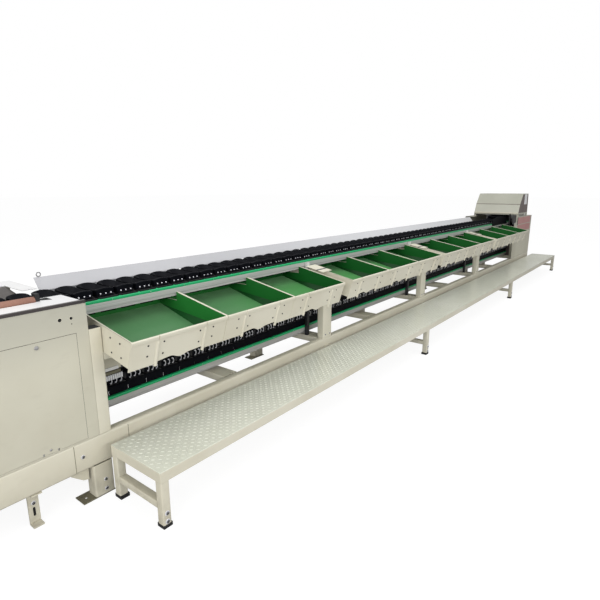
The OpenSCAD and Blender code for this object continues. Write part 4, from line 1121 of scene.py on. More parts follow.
    def bridges(self) -> None:
        """The plate over this group's near end wall, on the slope of its rim, with a dark joint across it.

        Its height is rim + slope (y + reach) + over, with y across the machine.
        """
        ys, cream, dark = self.bridge_ys, (Finish.CREAM, "cream_paint"), (Finish.CHUTE, "block_black")
        parts = (("front", ys[0:2], cream), ("joint", ys[1:3], dark), ("rear", ys[2:4], cream))
        for name, ends, (finish, slot) in parts:
            x, y = np.meshgrid(self.start + np.array(self.bridge), ends, indexing="ij")
            top = stacked(x, y, self.rim + self.rim_slope * (y + self.reach) + self.bridge_over)
            plate = self.shop.sheet(top, (0.0, 0.0, -self.sheet))
            self.shop.piece(f"tray_bridge_{name}_{self.number}", plate, finish, slot)

    def fillet(self, x: float) -> Surface:
        """A corner fillet of cushion sheet against the cross wall at x, growing from the back to the front; its
        dark green is painted shade in that corner.
        """
        off, clear = self.sheet + self.liner, self.liner + self.fillet_clear
        y0, y1 = self.foot_y + self.sheet + clear, self.back_y - clear
        z0, z1 = self.floor_z(y0) + off, self.floor_z(y1) + off
        p = [(x, y1, z1), (x, y0, z0 + self.fillet_tall), (x - self.fillet_wide, y0, z0), (x, y0, z0)]
        faces = np.array([[0, 2, 1, -1], [0, 1, 3, -1], [0, 3, 2, -1], [1, 2, 3, -1]])
        return Surface(self.shop.at(p), faces)

    def pans(self, walls: Sequence[float]) -> list[Surface]:
        """The steel behind the front panel: floor, back, cross walls and their top flanges."""
        ends, back = (self.start, self.start + self.length), self.back_y + self.sheet
        foot, low = self.foot_y + self.sheet, self.floor_z(self.back_y)
        parts = [self.sheet_between(ends, (foot, self.floor_z(foot)), (self.back_y, low), self.sheet),
                 self.sheet_between(ends, (back, low), (back, self.back_top), self.sheet)]
        for x in walls:
            parts += self.side(x, 0.0, self.sheet, 0.0)
        parts += [self.strip(x + self.sheet / 2, self.flange) for x in walls[1:-1]]
        half = self.flange / 2
        return parts + [self.strip(walls[0] + half / 2, half),
                        self.strip(walls[-1] + self.sheet - half / 2, half)]

    def lining(self, x0: float, x1: float) -> list[Surface]:
        """One compartment's cushion sheets between two x: bed, rear flap, front flap and both sides."""
        off, foot, far = self.sheet + self.gap, self.foot_y + self.sheet + self.gap, self.back_y - self.gap
        start, end = (foot, self.floor_z(foot) + off), (far, self.floor_z(far) + off)
        lean = self.sheet * self.lean / self.drop
        top = (-self.reach + off + lean + self.liner, self.rim - self.sheet)
        parts = [self.sheet_between((x0, x1), start, end, self.liner, self.liner_sag),
                 self.sheet_between((x0, x1), end, (far, self.back_top), self.liner),
                 self.sheet_between((x0, x1), (foot + self.liner, start[1]), top, self.liner)]
        for x in (x0, x1 - self.liner):
            parts += self.side(x, self.gap, self.liner, self.liner_sink)
        return parts

    def build(self) -> None:
        """Makes the group's panels, its liners and its screws."""
        k, shop = self.number, self.shop
        shop.piece(f"tray_front_{k}", self.front(), Finish.CREAM, "cream_paint", nodes=[f"tray_body_{k}"])
        walls = [self.start + c * (self.length - self.sheet) / self.outlets for c in range(self.outlets + 1)]
        shop.piece(f"tray_pan_{k}", joined(self.pans(walls)), Finish.CREAM, "cream_paint")
        inside = [(a + self.sheet + self.gap, b - self.gap) for a, b in zip(walls, walls[1:])]
        lining = joined(part for x0, x1 in inside for part in self.lining(x0, x1))
        shop.piece(f"tray_lining_{k}", lining, Finish.LINER, "liner_green", nodes=[f"tray_liner_{k}"])
        # The fillets take the dark green of painted shade.
        corners = joined(self.fillet(x1 - self.liner) for _, x1 in inside)
        shop.piece(f"tray_fillets_{k}", corners, Finish.LINER_SHADOW, "liner_green")
        self.screws()
        if k > 1:
            self.bridges()

    def screws(self) -> None:
        """Round-head screws: four about each rib of the front panel and four on each end plate."""
        head = lathe(self.screw, 10)
        c, s = self.drop / self.face, self.lean / self.face
        face = np.array([[1.0, 0, 0], [0, -s, -c], [0, c, -s]])
        spots = []
        for rib in self.ribs():
            way = 1 if np.mod(rib, self.cell) > self.cell / 2 else -1
            spots += [(rib + way * beside, down) for beside, down in self.face_screws]
        margin = self.screw_margin
        along, down = np.array([p for p in spots if margin < p[0] < self.length - margin]).T
        places = self.on_face(along, down, np.zeros(len(along)))
        parts = [head.copies(np.repeat(face[None], len(places), 0), places)]
        y, z = np.array(self.end_screws).T
        for x, way in ((self.start, -1), (self.start + self.length, 1)):
            turns = turn_about(Axis.Y, np.full(len(y), way * math.pi / 2))
            parts.append(head.copies(turns, self.world(x, y, z)))
        self.shop.piece(f"tray_screws_{self.number}", joined(parts), Finish.IRON, "steel")


# Cups and chain


@dataclass
class CupLine:
    """The endless line of cups: straight strands, two half turns and the cups that tip."""

    shop: Workshop
    pitch: float = 120.0
    turn_cups: int = 6
    tipping: tuple[int, ...] = (1, 2, 3)
    half_length: float = 52.0
    half_width: float = 110.0
    rows: tuple[float, ...] = (-1, -0.9, -0.7, -0.38, 0, 0.38, 0.7, 0.9, 1)
    columns: tuple[float, ...] = (-1, -0.965, -0.887, -0.72, -0.42, 0, 0.42, 0.72, 0.887, 0.965, 1)
    rounding: Pair = (0.05, 0.035)
    cup_sharp: float = 30.0
    hump: float = 44.0
    edge: float = 35.0
    rim_drop: float = 3.0
    dish_radius: float = 62.0
    dish_floor: float = 5.0
    dish_half: float = 40.0
    base: float = 24.3
    foot_share: Pair = (0.97, 0.985)
    foot_rise: float = 0.2
    lug_y: float = -118.0
    lug_z: float = 29.96
    lug_radius: float = 5.5
    lug_half: float = 34.0
    lug_sides: int = 8
    web_in: float = 4.0
    web_edge: float = 0.6
    tail_half: float = 12.0
    tail_y: Pair = (-6.0, 14.0)
    tail_z: Pair = (46.3, 51.3)
    tail_edge: float = 1.2
    clip_gap: float = 30.0
    clip_z: float = 10.0
    clip_wide: float = 8.0
    clip_waist: float = 0.35
    clip_in: float = 2.5
    clip_bulge: float = 6.0
    clip_half: Pair = (7.0, 5.4)
    clip_thick: float = 2.0
    hook_y: Pair = (-126.5, -122.5)
    hook_wide: float = 9.0
    hook_tall: float = 19.0
    hook_arc: Pair = (0.30, 1.70)
    hook_radii: Pair = (1.0, 0.66)
    apron_y: float = -122.0
    apron_thick: float = 2.0
    apron_low: Pair = (43.0, -60.0)
    apron_high: Pair = (53.0, 18.2)
    flange_y: float = -148.0
    flange_top: float = 72.0
    flange_half: float = 59.0

    def __post_init__(self) -> None:
        """Reads the shafts and the lane from the frame, in metres."""
        tail, head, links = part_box("tail_shaft"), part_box("head_shaft"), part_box("upper_links")
        self.tail_x = (tail[0][0] + tail[1][0]) / 2
        self.head_x = (head[0][0] + head[1][0]) / 2
        self.shaft_z = (head[0][2] + head[1][2]) / 2
        self.lane_y = (links[0][1] + links[1][1]) / 2
        self.turn_radius = self.pitch * MM * self.turn_cups / math.pi
        self.count = round((self.head_x - self.tail_x) / (self.pitch * MM))

    @staticmethod
    def bar(low: Triple, high: Triple, edge: float) -> Surface:
        """A chamfered box about the chain's centre, in millimetres."""
        return box_slab(np.array(low) * MM, np.array(high) * MM, edge * MM)

    def cup(self) -> Surface:
        """One cup about the chain's centre: z = min(arch, dish) over a grid with rounded corners.

        arch(x) = hump - (hump - edge) (x / a)^2 and dish(x, y) = floor + R - sqrt(R^2 - x^2 - d^2), where d is
        how far |y| lies past the dish's straight middle.
        """
        s, t = np.array(self.rows)[:, None], np.array(self.columns)[None, :]
        x = self.half_length * s * (1 - self.rounding[0] * t**6)
        y = self.half_width * t * (1 - self.rounding[1] * s**6)
        arch = self.hump - (self.hump - self.edge) * (x / self.half_length) ** 2
        past = np.maximum(np.abs(y) - self.dish_half, 0)
        deep = np.sqrt(np.maximum(self.dish_radius**2 - x**2 - past**2, 0))
        border = self.rim_drop * ((np.abs(t) == 1) | (np.abs(s) == 1))
        z = np.minimum(arch, self.dish_floor + self.dish_radius - deep) - border
        top = stacked(x, y, z + self.base)
        foot = stacked(x * self.foot_share[0], y * self.foot_share[1], self.base + self.foot_rise)
        angle = (np.arange(self.lug_sides) + 0.5) * 2 * math.pi / self.lug_sides
        rod = np.stack([self.lug_y + self.lug_radius * np.cos(angle),
                        self.lug_z + self.lug_radius * np.sin(angle)], -1)
        lug = carried(rod * MM, Axis.X, -self.lug_half * MM, self.lug_half * MM)
        web_high = (self.lug_half, -self.half_width + self.web_in, self.lug_z + self.lug_radius)
        web = self.bar((-self.lug_half, self.lug_y, self.lug_z), web_high, self.web_edge)
        (y0, y1), (z0, z1) = self.half_width + np.array(self.tail_y), self.tail_z
        tail = self.bar((-self.tail_half, y0, z0), (self.tail_half, y1, z1), self.tail_edge)
        return joined([slab(top * MM, foot * MM), lug, web, tail])

    def threefold(self, one: Surface) -> Surface:
        """Three copies of a surface beside each other along the lane."""
        places = stacked(np.array([-1, 0, 1]) * self.clip_gap, 0.0, 0.0) * MM
        return one.copies(np.repeat(np.eye(3)[None], 3, 0), places)

    def clips(self) -> Surface:
        """Three bright bent clips on a cup's front wall, each a strip on an arc that bulges out of the wall."""
        a = np.linspace(0, math.pi, 6)[:, None]
        x = np.array([-0.5, 0.5]) * self.clip_wide * (1 - self.clip_waist * np.sin(a))
        y = -self.half_width + self.clip_in - self.clip_bulge * np.sin(a)
        outer, inner = (self.base + self.clip_z - half * np.cos(a) for half in self.clip_half)
        return self.threefold(slab(stacked(x, y, outer) * MM, stacked(x, y + self.clip_thick, inner) * MM))

    def hooks(self) -> Surface:
        """Three C-shaped hooks on a carrier's side plate: flat bands on an open ellipse."""
        a = np.linspace(*self.hook_arc, 8)[:, None] * math.pi
        radius = np.array([self.hook_radii])
        x, z = self.hook_wide * radius * np.cos(a), self.hook_tall * radius * np.sin(a)
        front, back = (stacked(x, y, z) * MM for y in self.hook_y)
        return self.threefold(slab(front, back))

    def strand(self, turn: float) -> tuple[Array, Array]:
        """Turns and places along a straight strand; turn is 0 above and pi below."""
        x = self.tail_x + (np.arange(self.count) + 0.5) * self.pitch * MM
        places = stacked(x, self.lane_y, self.shaft_z + self.turn_radius * math.cos(turn))
        return turn_about(Axis.Y, np.full(self.count, turn)), places

    def half_turn(self, shaft_x: float, start: float) -> tuple[Array, Array]:
        """Turns and places round a shaft; start is 0 at the head and pi at the tail."""
        angle = start + (np.arange(self.turn_cups) + 0.5) * math.pi / self.turn_cups
        x, z = self.turn_radius * np.sin(angle), self.turn_radius * np.cos(angle)
        return turn_about(Axis.Y, angle), stacked(shaft_x + x, self.lane_y, self.shaft_z + z)

    def put(self, name: str, body: str, turns: Array, places: Array, node: str) -> None:
        """Makes one run of cups and its clips."""
        cups, clips = (one.copies(turns, places) for one in (self.cup(), self.clips()))
        self.shop.piece(f"{name}_cups", cups, Finish.CUP, "cup_black", body, [node], self.cup_sharp)
        self.shop.piece(f"{name}_clips", clips, Finish.CLIP, "steel", body)

    def plate(self, y: float, low: Pair, high: Pair) -> Surface:
        """An upright plate across Y from one (half length, height) to another, straight between them."""
        half, z = np.array([low, high]).T[:, :, None]
        front = stacked(half * np.array([-1.0, 1.0]), y, z)
        return slab(front * MM, (front + np.array([0.0, self.apron_thick, 0.0])) * MM)

    def carriers(self, name: str, body: str, turns: Array, places: Array) -> None:
        """Makes one run of carriers: side plates tapered to clear each other on the turns, and bright hooks."""
        apron = self.plate(self.apron_y, self.apron_low, self.apron_high)
        self.shop.piece(f"{name}_aprons", apron.copies(turns, places), Finish.CUP, "dark_steel", body)
        self.shop.piece(f"{name}_hooks", self.hooks().copies(turns, places), Finish.CLIP, "steel", body)

    def build(self) -> None:
        """Makes every run of cups; the places of the tipping cups are left out of the upper strand."""
        turns, places = self.strand(0.0)
        tips = np.array([np.mean([c[0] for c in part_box(f"tip_cup_{k}")]) for k in self.tipping])
        nearest = np.abs(places[:, 0][:, None] - tips).argmin(axis=0)
        keep = np.ones(self.count, bool)
        keep[nearest] = False
        self.put("upper", Body.UPPER, turns[keep], places[keep], "upper_cups")
        for k, i in zip(self.tipping, nearest):
            self.put(f"tipping_{k}", f"tip_{k}", turns[i : i + 1], places[i : i + 1], f"tip_cup_{k}")
        self.carriers("upper", Body.UPPER, turns, places)
        runs = (("return", Body.LOWER, self.strand(math.pi), "lower_cups"),
                ("head", Body.HEAD, self.half_turn(self.head_x, 0.0), "head_turn_cups"),
                ("tail", Body.TAIL, self.half_turn(self.tail_x, math.pi), "tail_turn_cups"))
        for name, body, (turns, places), node in runs:
            self.put(name, body, turns, places, node)
            self.carriers(name, body, turns, places)
        half, low = self.flange_half, self.apron_high[1]
        flange = self.plate(self.flange_y, (half, low), (half, self.flange_top))
        hung = flange.copies(*self.strand(math.pi))
        self.shop.piece("return_flanges", hung, Finish.CUP, "dark_steel", Body.LOWER)


# Track, guard and cabinets


@dataclass
class Track:
    """Slotted rails and the green strips on which the cups' carriers slide."""

    shop: Workshop
    slot_depth: float = 8.0
    slot_low: float = 0.06
    slot_high: float = 0.40
    corner: float = 1.5
    strip_radius: float = 3.0
    strip_edge: float = 0.5
    screw: Outline = ((3.0, -0.5), (3.0, 0.6), (2.0, 1.2))
    screw_start: float = 60.0
    screw_pitch: float = 240.0

    def rail(self, low: Array, high: Array, way: int) -> Surface:
        """One rail: a rectangle with a wide slot in its outer face, carried along X."""
        wide, tall = (high[1] - low[1]) / MM, (high[2] - low[2]) / MM
        c, d, foot, head = self.corner, self.slot_depth, self.slot_low * tall, self.slot_high * tall
        side = np.array([(0, 0), (0, foot), (d, foot + c), (d, head - c), (0, head), (0, tall - c), (c, tall),
                         (wide - c, tall), (wide, tall - c), (wide, 0)]) * MM
        y = low[1] + side[:, 0] if way < 0 else high[1] - side[:, 0]
        return carried(np.stack([y, low[2] + side[:, 1]], -1), Axis.X, low[0], high[0])

    def build(self) -> None:
        """Makes the rails, the strips and the strips' screws."""
        shop = self.shop
        rails = shop.solids("track_rails")
        lane = (rails[:, 0, 1].min() + rails[:, 1, 1].max()) / 2
        bars = [self.rail(low, high, -1 if low[1] < lane else 1) for low, high in rails]
        shop.piece("slotted_rails", joined(bars), Finish.ALUMINIUM, "rail_aluminium", nodes=["track_rails"])
        green, heads, head = [], [], lathe(self.screw, 8)
        for low, high in shop.solids("guide_strips"):
            mid, size = (low + high) / 2, high - low
            shape = rounded_rectangle(size[1], size[2], self.strip_radius * MM, 3) + mid[1:]
            green.append(carried(shape, Axis.X, low[0], high[0], self.strip_edge * MM))
            x = np.arange(low[0] + self.screw_start * MM, high[0], self.screw_pitch * MM)
            way, face = (-1, low[1]) if low[1] < lane else (1, high[1])
            turns = turn_about(Axis.X, np.full(len(x), -way * math.pi / 2))
            heads.append(head.copies(turns, stacked(x, face, mid[2])))
        shop.piece("green_strips", joined(green), Finish.GUIDE, "guide_green", nodes=["guide_strips"])
        shop.piece("strip_screws", joined(heads), Finish.ZINC, "steel")


@dataclass
class InfeedCabinet:
    """The near cabinet: lock, vent holes, screws, door seal, dark lane mouth and the block at its lane end; the
    dark in the vent holes and the lane mouth is painted shade.
    """

    shop: Workshop
    sheets: Sizes = (("infeed_shell", 1.0), ("access_door", 1.0), ("infeed_deck", 0.8), ("deck_trim", 0.8),
                     ("infeed_chute", 0.8), ("singulator_roller", 0.6), ("roller_blocks", 1.5))
    coated: tuple[str, ...] = ("infeed_shell", "access_door")
    lock: Pair = (-240.0, 861.0)
    knob: Outline = ((9.5, -0.5), (9.5, 2.0), (8.4, 3.2), (7.0, 3.4), (6.6, 6.5), (2.4, 7.4))
    door_screws: Outline = ((-236.0, 364.0), (-764.0, 364.0))
    screw: Outline = ((6.0, -0.5), (6.0, 1.2), (4.6, 2.8), (2.0, 3.4))
    seal: float = 1.5
    seal_y: Pair = (0.5, 1.5)
    seal_edge: float = 0.1
    mouth: Outline = ((-128.0, 222.0), (-76.0, 222.0), (-122.0, 189.0), (-76.0, 164.0))
    mouth_over: float = 1.0
    mouth_thick: float = 1.5
    holes: tuple[Triple, ...] = ((-127.0, 962.0, 8.5), (-75.0, 961.0, 7.0), (-75.0, 934.0, 2.6))
    hole_rim: Outline = ((1.25, -0.5), (1.2, 0.5), (1.0, 0.6))
    hole_disc: Outline = ((1.0, -0.5), (1.0, 0.8), (0.96, 1.0))
    clear: float = 1.0
    bracket: Outline = ((1.0, 705.0), (1.0, 572.0), (262.0, 572.0), (262.0, 600.0), (200.0, 705.0))
    bracket_y: Pair = (196.0, 199.0)
    upper_bar: Triple = (245.0, 571.0, 589.0)
    lower_bar: Triple = (256.0, 549.0, 566.0)
    bar_y: Pair = (190.0, 196.0)
    bar_edge: float = 1.0
    block: Four = (150.0, 266.0, 518.0, 547.0)
    block_y: Pair = (184.0, 192.0)
    block_rise: float = 2.0
    block_edge: float = 0.5
    block_ribs: int = 9
    rib_gap: float = 3.2

    def lane_end(self) -> None:
        """The bracket and two bars on the cabinet's lane end, and the ribbed block that they carry."""
        shop, (y0, y1), (b0, b1) = self.shop, self.bar_y, self.block_y
        shop.piece("lane_end_bracket", shop.plate(self.bracket, self.bracket_y), Finish.CREAM, "cream_paint")
        for name, (x, z0, z1), finish in (("lane_end_upper_bar", self.upper_bar, Finish.WHITE),
                                          ("lane_end_lower_bar", self.lower_bar, Finish.PRIMER)):
            bar = shop.block((self.clear, y0, z0), (x, y1, z1), self.bar_edge)
            shop.piece(name, bar, finish, "cream_paint")
        x0, x1, z0, z1 = self.block
        edges = np.linspace(x0, x1, self.block_ribs + 1)
        ribs = [shop.block((a, b0, z0), (b - self.rib_gap, b1, z1), self.bar_edge)
                for a, b in zip(edges, edges[1:])]
        shop.piece("lane_end_ribs", joined(ribs), Finish.CLIP, "steel")
        back = shop.block((self.clear, b1, z0), (x1, y1, z1 + self.block_rise), self.block_edge)
        shop.piece("lane_end_block", back, Finish.IRON, "block_black")

    def facing(self, shape: Surface, spots: Sequence[Pair], face: float) -> Surface:
        """Copies of a shape made about Z, turned to look out of a face at the given X and Z."""
        places = self.shop.at([(x, face, z) for x, z in spots])
        return shape.copies(turn_about(Axis.X, np.full(len(places), math.pi / 2)), places)

    def door_fittings(self) -> None:
        """The door's lock and screws, and the dark seal along its sides and top."""
        shop, ((x0, door, z0), (x1, _, z1)) = self.shop, self.shop.span("access_door")
        knob = self.facing(lathe(self.knob, 20), [self.lock], door)
        shop.piece("door_lock", knob, Finish.ZINC, "steel", Body.DOOR)
        screws = self.facing(lathe(self.screw, 12), self.door_screws, door)
        shop.piece("door_screws", screws, Finish.ZINC, "steel", Body.DOOR)
        g, (y0, y1) = self.seal, door + np.array(self.seal_y)
        strips = (((x0 - g, z0), (x0, z1 + g)), ((x1, z0), (x1 + g, z1 + g)), ((x0, z1), (x1, z1 + g)))
        seal = [shop.block((xa, y0, za), (xb, y1, zb), self.seal_edge) for (xa, za), (xb, zb) in strips]
        shop.piece("door_seal", joined(seal), Finish.RUBBER, "block_black")

    def build(self) -> None:
        """Softens the cabinet's own sheets and makes the details."""
        shop = self.shop
        for node, edge in self.sheets:
            # The shell and the door take the darker cabinet coat: painted shade.
            shop.softened(node, edge, Finish.CABINET if node in self.coated else None)
        self.lane_end()
        self.door_fittings()
        # A near-black sheet over the lane's opening in the deck: painted shade in the mouth.
        top = shop.span("infeed_deck")[1][2] + self.mouth_over
        mouth = np.array([(x, y, top) for x, y in self.mouth]).reshape(2, 2, 3)
        shop.piece("lane_mouth", shop.sheet(mouth, (0.0, 0.0, -self.mouth_thick)), Finish.HOLE, "block_black")
        front = shop.span("infeed_shell")[0][1]
        # Cream rims round near-black discs: the discs are painted shade inside the vent holes.
        for name, profile, finish, slot in (("hole_rims", self.hole_rim, Finish.CREAM, "cream_paint"),
                                            ("vent_holes", self.hole_disc, Finish.HOLE, "block_black")):
            rounds = [self.facing(lathe([(r * share, level) for share, level in profile], 20), [(x, z)], front)
                      for x, z, r in self.holes]
            shop.piece(name, joined(rounds), finish, slot)


@dataclass
class HeadCabinet:
    """The far cabinet with its end sheets and the cover of the turning cups, and the hood with its trim."""

    shop: Workshop
    sheets: Sizes = (("hood", 3.0), ("head_shell", 2.0), ("head_straps", 1.0), ("head_plates", 1.0),
                     ("gearmotor", 3.0), ("bearings", 1.5), ("hinge_pins", 0.5))
    end_sheet: tuple[float, ...] = (8893.0, 24.0, 826.0, 190.0, 880.0)
    # The back sheet is white as painted light: it stands for the cream panel inside the hood, which lies in
    # shade.
    back_sheet: tuple[float, ...] = (8503.0, 40.0, 720.0, 880.0, 1100.0)
    sheet_edge: float = 0.3
    thick: float = 3.0
    columns: int = 31
    arch: Pair = (7800.0, 8400.0)
    arch_y: Pair = (200.0, 500.0)
    arch_line: tuple[float, ...] = (1074.0, 34.0, 215.0, 0.4, 2.4)
    arch_foot: float = 800.0
    arch_low: float = 20.0
    rail_past: float = 2.0
    rail_over: float = 0.5
    curtain: Pair = (7050.0, 7930.0)
    curtain_y: Pair = (187.0, 191.5)
    curtain_line: tuple[float, ...] = (1080.0, 40.0, 138.0, 0.5, 2.2)
    curtain_foot: float = 936.0
    outline: Outline = ((7884.0, 1120.0), (7956.0, 1274.0), (8108.0, 1437.0), (8470.0, 1437.0),
                        (8502.0, 1120.0))
    proud: float = 1.5
    bar: Four = (8220.0, 1262.0, 8390.0, 1436.0)
    bar_edge: float = 0.5
    crease: Four = (7936.0, 1264.0, 7944.0, 1272.0)
    crease_in: float = 1.0
    flange: Triple = (7857.0, 7866.0, 22.0)
    edge: float = 1.0

    def line(self, s: Array, top: float, rise: float, fall: float, crest: float, power: float) -> Array:
        """Top line of a cover: top - rise (1 - s / crest)^2, then top - fall ((s - crest) / (1 - crest))^power.

        Args:
            s: Share of the length, 0 to 1.
            top: Height of the crest.
            rise: How far the line climbs before the crest.
            fall: How far it falls after it.
            crest: Where the crest is, as a share.
            power: How late the fall comes.

        Returns:
            The heights.
        """
        up, down = np.clip(1 - s / crest, 0, 1), np.clip((s - crest) / (1 - crest), 0, 1)
        return top - rise * up**2 - fall * down**power

    def cheek(self, x: Array, low: Any, high: Array, ends: Pair) -> Surface:
        """An upright sheet along the lane between two lines of height and two y."""
        rows = np.concatenate(np.broadcast_arrays(low, high), 1)
        return self.shop.sheet(stacked(x, ends[0], rows), (0.0, ends[1] - ends[0], 0.0))

    def turn_cover(self) -> None:
        """The black rubber cover over the cups where they turn down, its two cheeks and a curtain before it."""
        shop, (y0, y1), thick = self.shop, self.arch_y, self.thick
        s = np.linspace(0, 1, self.columns)[:, None]
        x, z = self.arch[0] + (self.arch[1] - self.arch[0]) * s, self.line(s, *self.arch_line)
        parts = [shop.sheet(stacked(x, np.linspace(y0, y1, 3), z), (0.0, 0.0, -thick))]
        rail_end, _, rail_top = shop.span("track_rails")[1]
        foot = np.where(x < rail_end + self.rail_past, rail_top + self.rail_over, self.arch_foot)
        for y in (y0, y1 - thick):
            parts.append(self.cheek(x, np.minimum(foot, z - self.arch_low), z - thick, (y, y + thick)))
        x = self.curtain[0] + (self.curtain[1] - self.curtain[0]) * s
        parts.append(self.cheek(x, self.curtain_foot, self.line(s, *self.curtain_line), self.curtain_y))
        shop.piece("turn_cover", joined(parts), Finish.CUP, "strap_black")

    def end_panels(self) -> None:
        """The dark sheet that closes the cabinet's far end and the white one behind its opening, white as painted
        light so that the panel there reads light in the hood's shade.
        """
        for name, (x, y0, y1, z0, z1), finish, slot in (
                ("head_end_sheet", self.end_sheet, Finish.HOOD_SIDE, "dark_trim"),
                ("head_back_sheet", self.back_sheet, Finish.WHITE, "cream_paint")):
            sheet = self.shop.block((x, y0, z0), (x + self.thick, y1, z1), self.sheet_edge)
            self.shop.piece(name, sheet, finish, slot)

    def build(self) -> None:
        """Softens the sheets and adds the cover, the end panels and the hood's panel, bar, crease and flange."""
        shop, coats = self.shop, {"hood": Finish.HOOD, "head_shell": Finish.CABINET}
        for node, edge in self.sheets:
            # The hood and the head shell take darker copies of the cream: painted shade.
            shop.softened(node, edge, coats.get(node))
        self.turn_cover()
        self.end_panels()
        (_, y0, z0), (_, y1, _) = shop.span("hood")
        side = shop.plate(self.outline, (y0 - self.proud, y0 + self.proud))
        shop.piece("hood_side_panel", side, Finish.HOOD_SIDE, "dark_trim", Body.HOOD)
        xa, za, xb, zb = self.bar
        bar = shop.block((xa, y0 - 2 * self.proud, za), (xb, y0, zb), self.bar_edge)
        shop.piece("hood_side_bar", bar, Finish.WHITE, "cream_paint", Body.HOOD)
        # A dark strip along the hood's bend: painted shade in the crease.
        xa, za, xb, zb = self.crease
        crease = shop.block((xa, y0 + self.crease_in, za), (xb, y1 - self.crease_in, zb), self.edge)
        shop.piece("hood_crease", crease, Finish.HOOD_SIDE, "cream_paint", Body.HOOD)
        xa, xb, tall = self.flange
        foot = shop.block((xa, y0, z0), (xb, y1, z0 + tall), self.edge)
        shop.piece("hood_front_flange", foot, Finish.CREAM, "cream_paint", Body.HOOD)


@dataclass
class Platform:
    """The worker's step: checker plate on capped tubes, with bolts on its front legs."""

    shop: Workshop
    sheets: Sizes = (("platform_deck", 1.5), ("platform_frame", 4.0))
    margin: float = 22.0
    pitch: float = 24.0
    half_long: float = 10.0
    half_wide: float = 3.0
    sunk: float = 0.4
    rise: float = 1.9
    ridge: float = 0.5
    bar_sharp: float = 20.0
    wall: float = 3.0
    cap: float = 3.0
    cap_edge: float = 0.3
    cap_from: float = 2000.0
    leg_from: float = 150.0
    bolt_z: Pair = (78.0, 34.0)
    bolt_radius: float = 9.0
    bolt_height: float = 6.0
    bolt_levels: Triple = (0.0, 1.1, 0.26)
    washer: float = 1.4

    def lozenge(self) -> Surface:
        """One raised bar: a pointed base below the plate and two ridge points above it."""
        a, b, low, ridge = self.half_long, self.half_wide, -self.sunk, self.half_long * self.ridge
        points = np.array([(-a, 0, low), (0, -b, low), (a, 0, low), (0, b, low),
                           (-ridge, 0, self.rise), (ridge, 0, self.rise)])
        faces = [[0, 1, 5, 4], [1, 2, 5, -1], [2, 3, 4, 5], [3, 0, 4, -1], [3, 2, 1, 0]]
        return Surface(points * MM, np.array(faces))

    def build(self) -> None:
        """Softens deck and frame and sets the deck's bars, each turned by a right angle from the next."""
        shop = self.shop
        for node, bevel in self.sheets:
            shop.softened(node, bevel)
        low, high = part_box("platform_deck")
        step, edge = self.pitch * MM, self.margin * MM
        x = np.arange(low[0] + edge, high[0] - edge, step)
        y = np.arange(low[1] + edge, high[1] - edge / 2, step)
        i, j = np.arange(len(x))[:, None], np.arange(len(y))[None, :]
        angle = np.where((i + j) % 2 == 0, 1, -1) * math.pi / 4
        places = stacked(x[:, None], y[None, :], high[2]).reshape(-1, 3)
        bars = self.lozenge().copies(turn_about(Axis.Z, angle.ravel()), places)
        shop.piece("checker_bars", bars, Finish.CHECKER_BAR, "checker_plate", sharp=self.bar_sharp)
        self.leg_bolts()
        self.caps()

    def leg_bolts(self) -> None:
        """Two domed hexagon heads on bright washers, low on the front face of each front leg."""
        legs = self.shop.solids("platform_legs")
        front, tall = legs[:, 0, 1].min() + MM, legs[:, 1, 2] - legs[:, 0, 2]
        legs = legs[(legs[:, 0, 1] < front) & (tall > self.leg_from * MM)]
        x, z = legs[:, :, 0].mean(1)[:, None], np.array(self.bolt_z) * MM
        spots = stacked(x, legs[0, 0, 1], z).reshape(-1, 3)
        turns = turn_about(Axis.X, np.full(len(spots), math.pi / 2))
        head, ring = hex_bolt(self.bolt_radius, self.bolt_height, self.washer, self.bolt_levels)
        self.shop.piece("leg_bolts", head.copies(turns, spots), Finish.BOLT, "steel")
        self.shop.piece("leg_washers", ring.copies(turns, spots), Finish.CLIP, "steel")

    def caps(self) -> None:
        """Closes both ends of the platform's long tubes with flush caps."""
        deep, ends, inner = self.cap * MM, [], np.array([0.0, self.wall, self.wall]) * MM
        for low, high in self.shop.solids("platform_frame"):
            if high[0] - low[0] > self.cap_from * MM:
                for x in (low[0], high[0] - deep):
                    near, far = np.array([x, *low[1:]]) + inner, np.array([x + deep, *high[1:]]) - inner
                    ends.append(box_slab(near, far, self.cap_edge * MM))
        self.shop.piece("platform_caps", joined(ends), Finish.CREAM, "cream_paint")


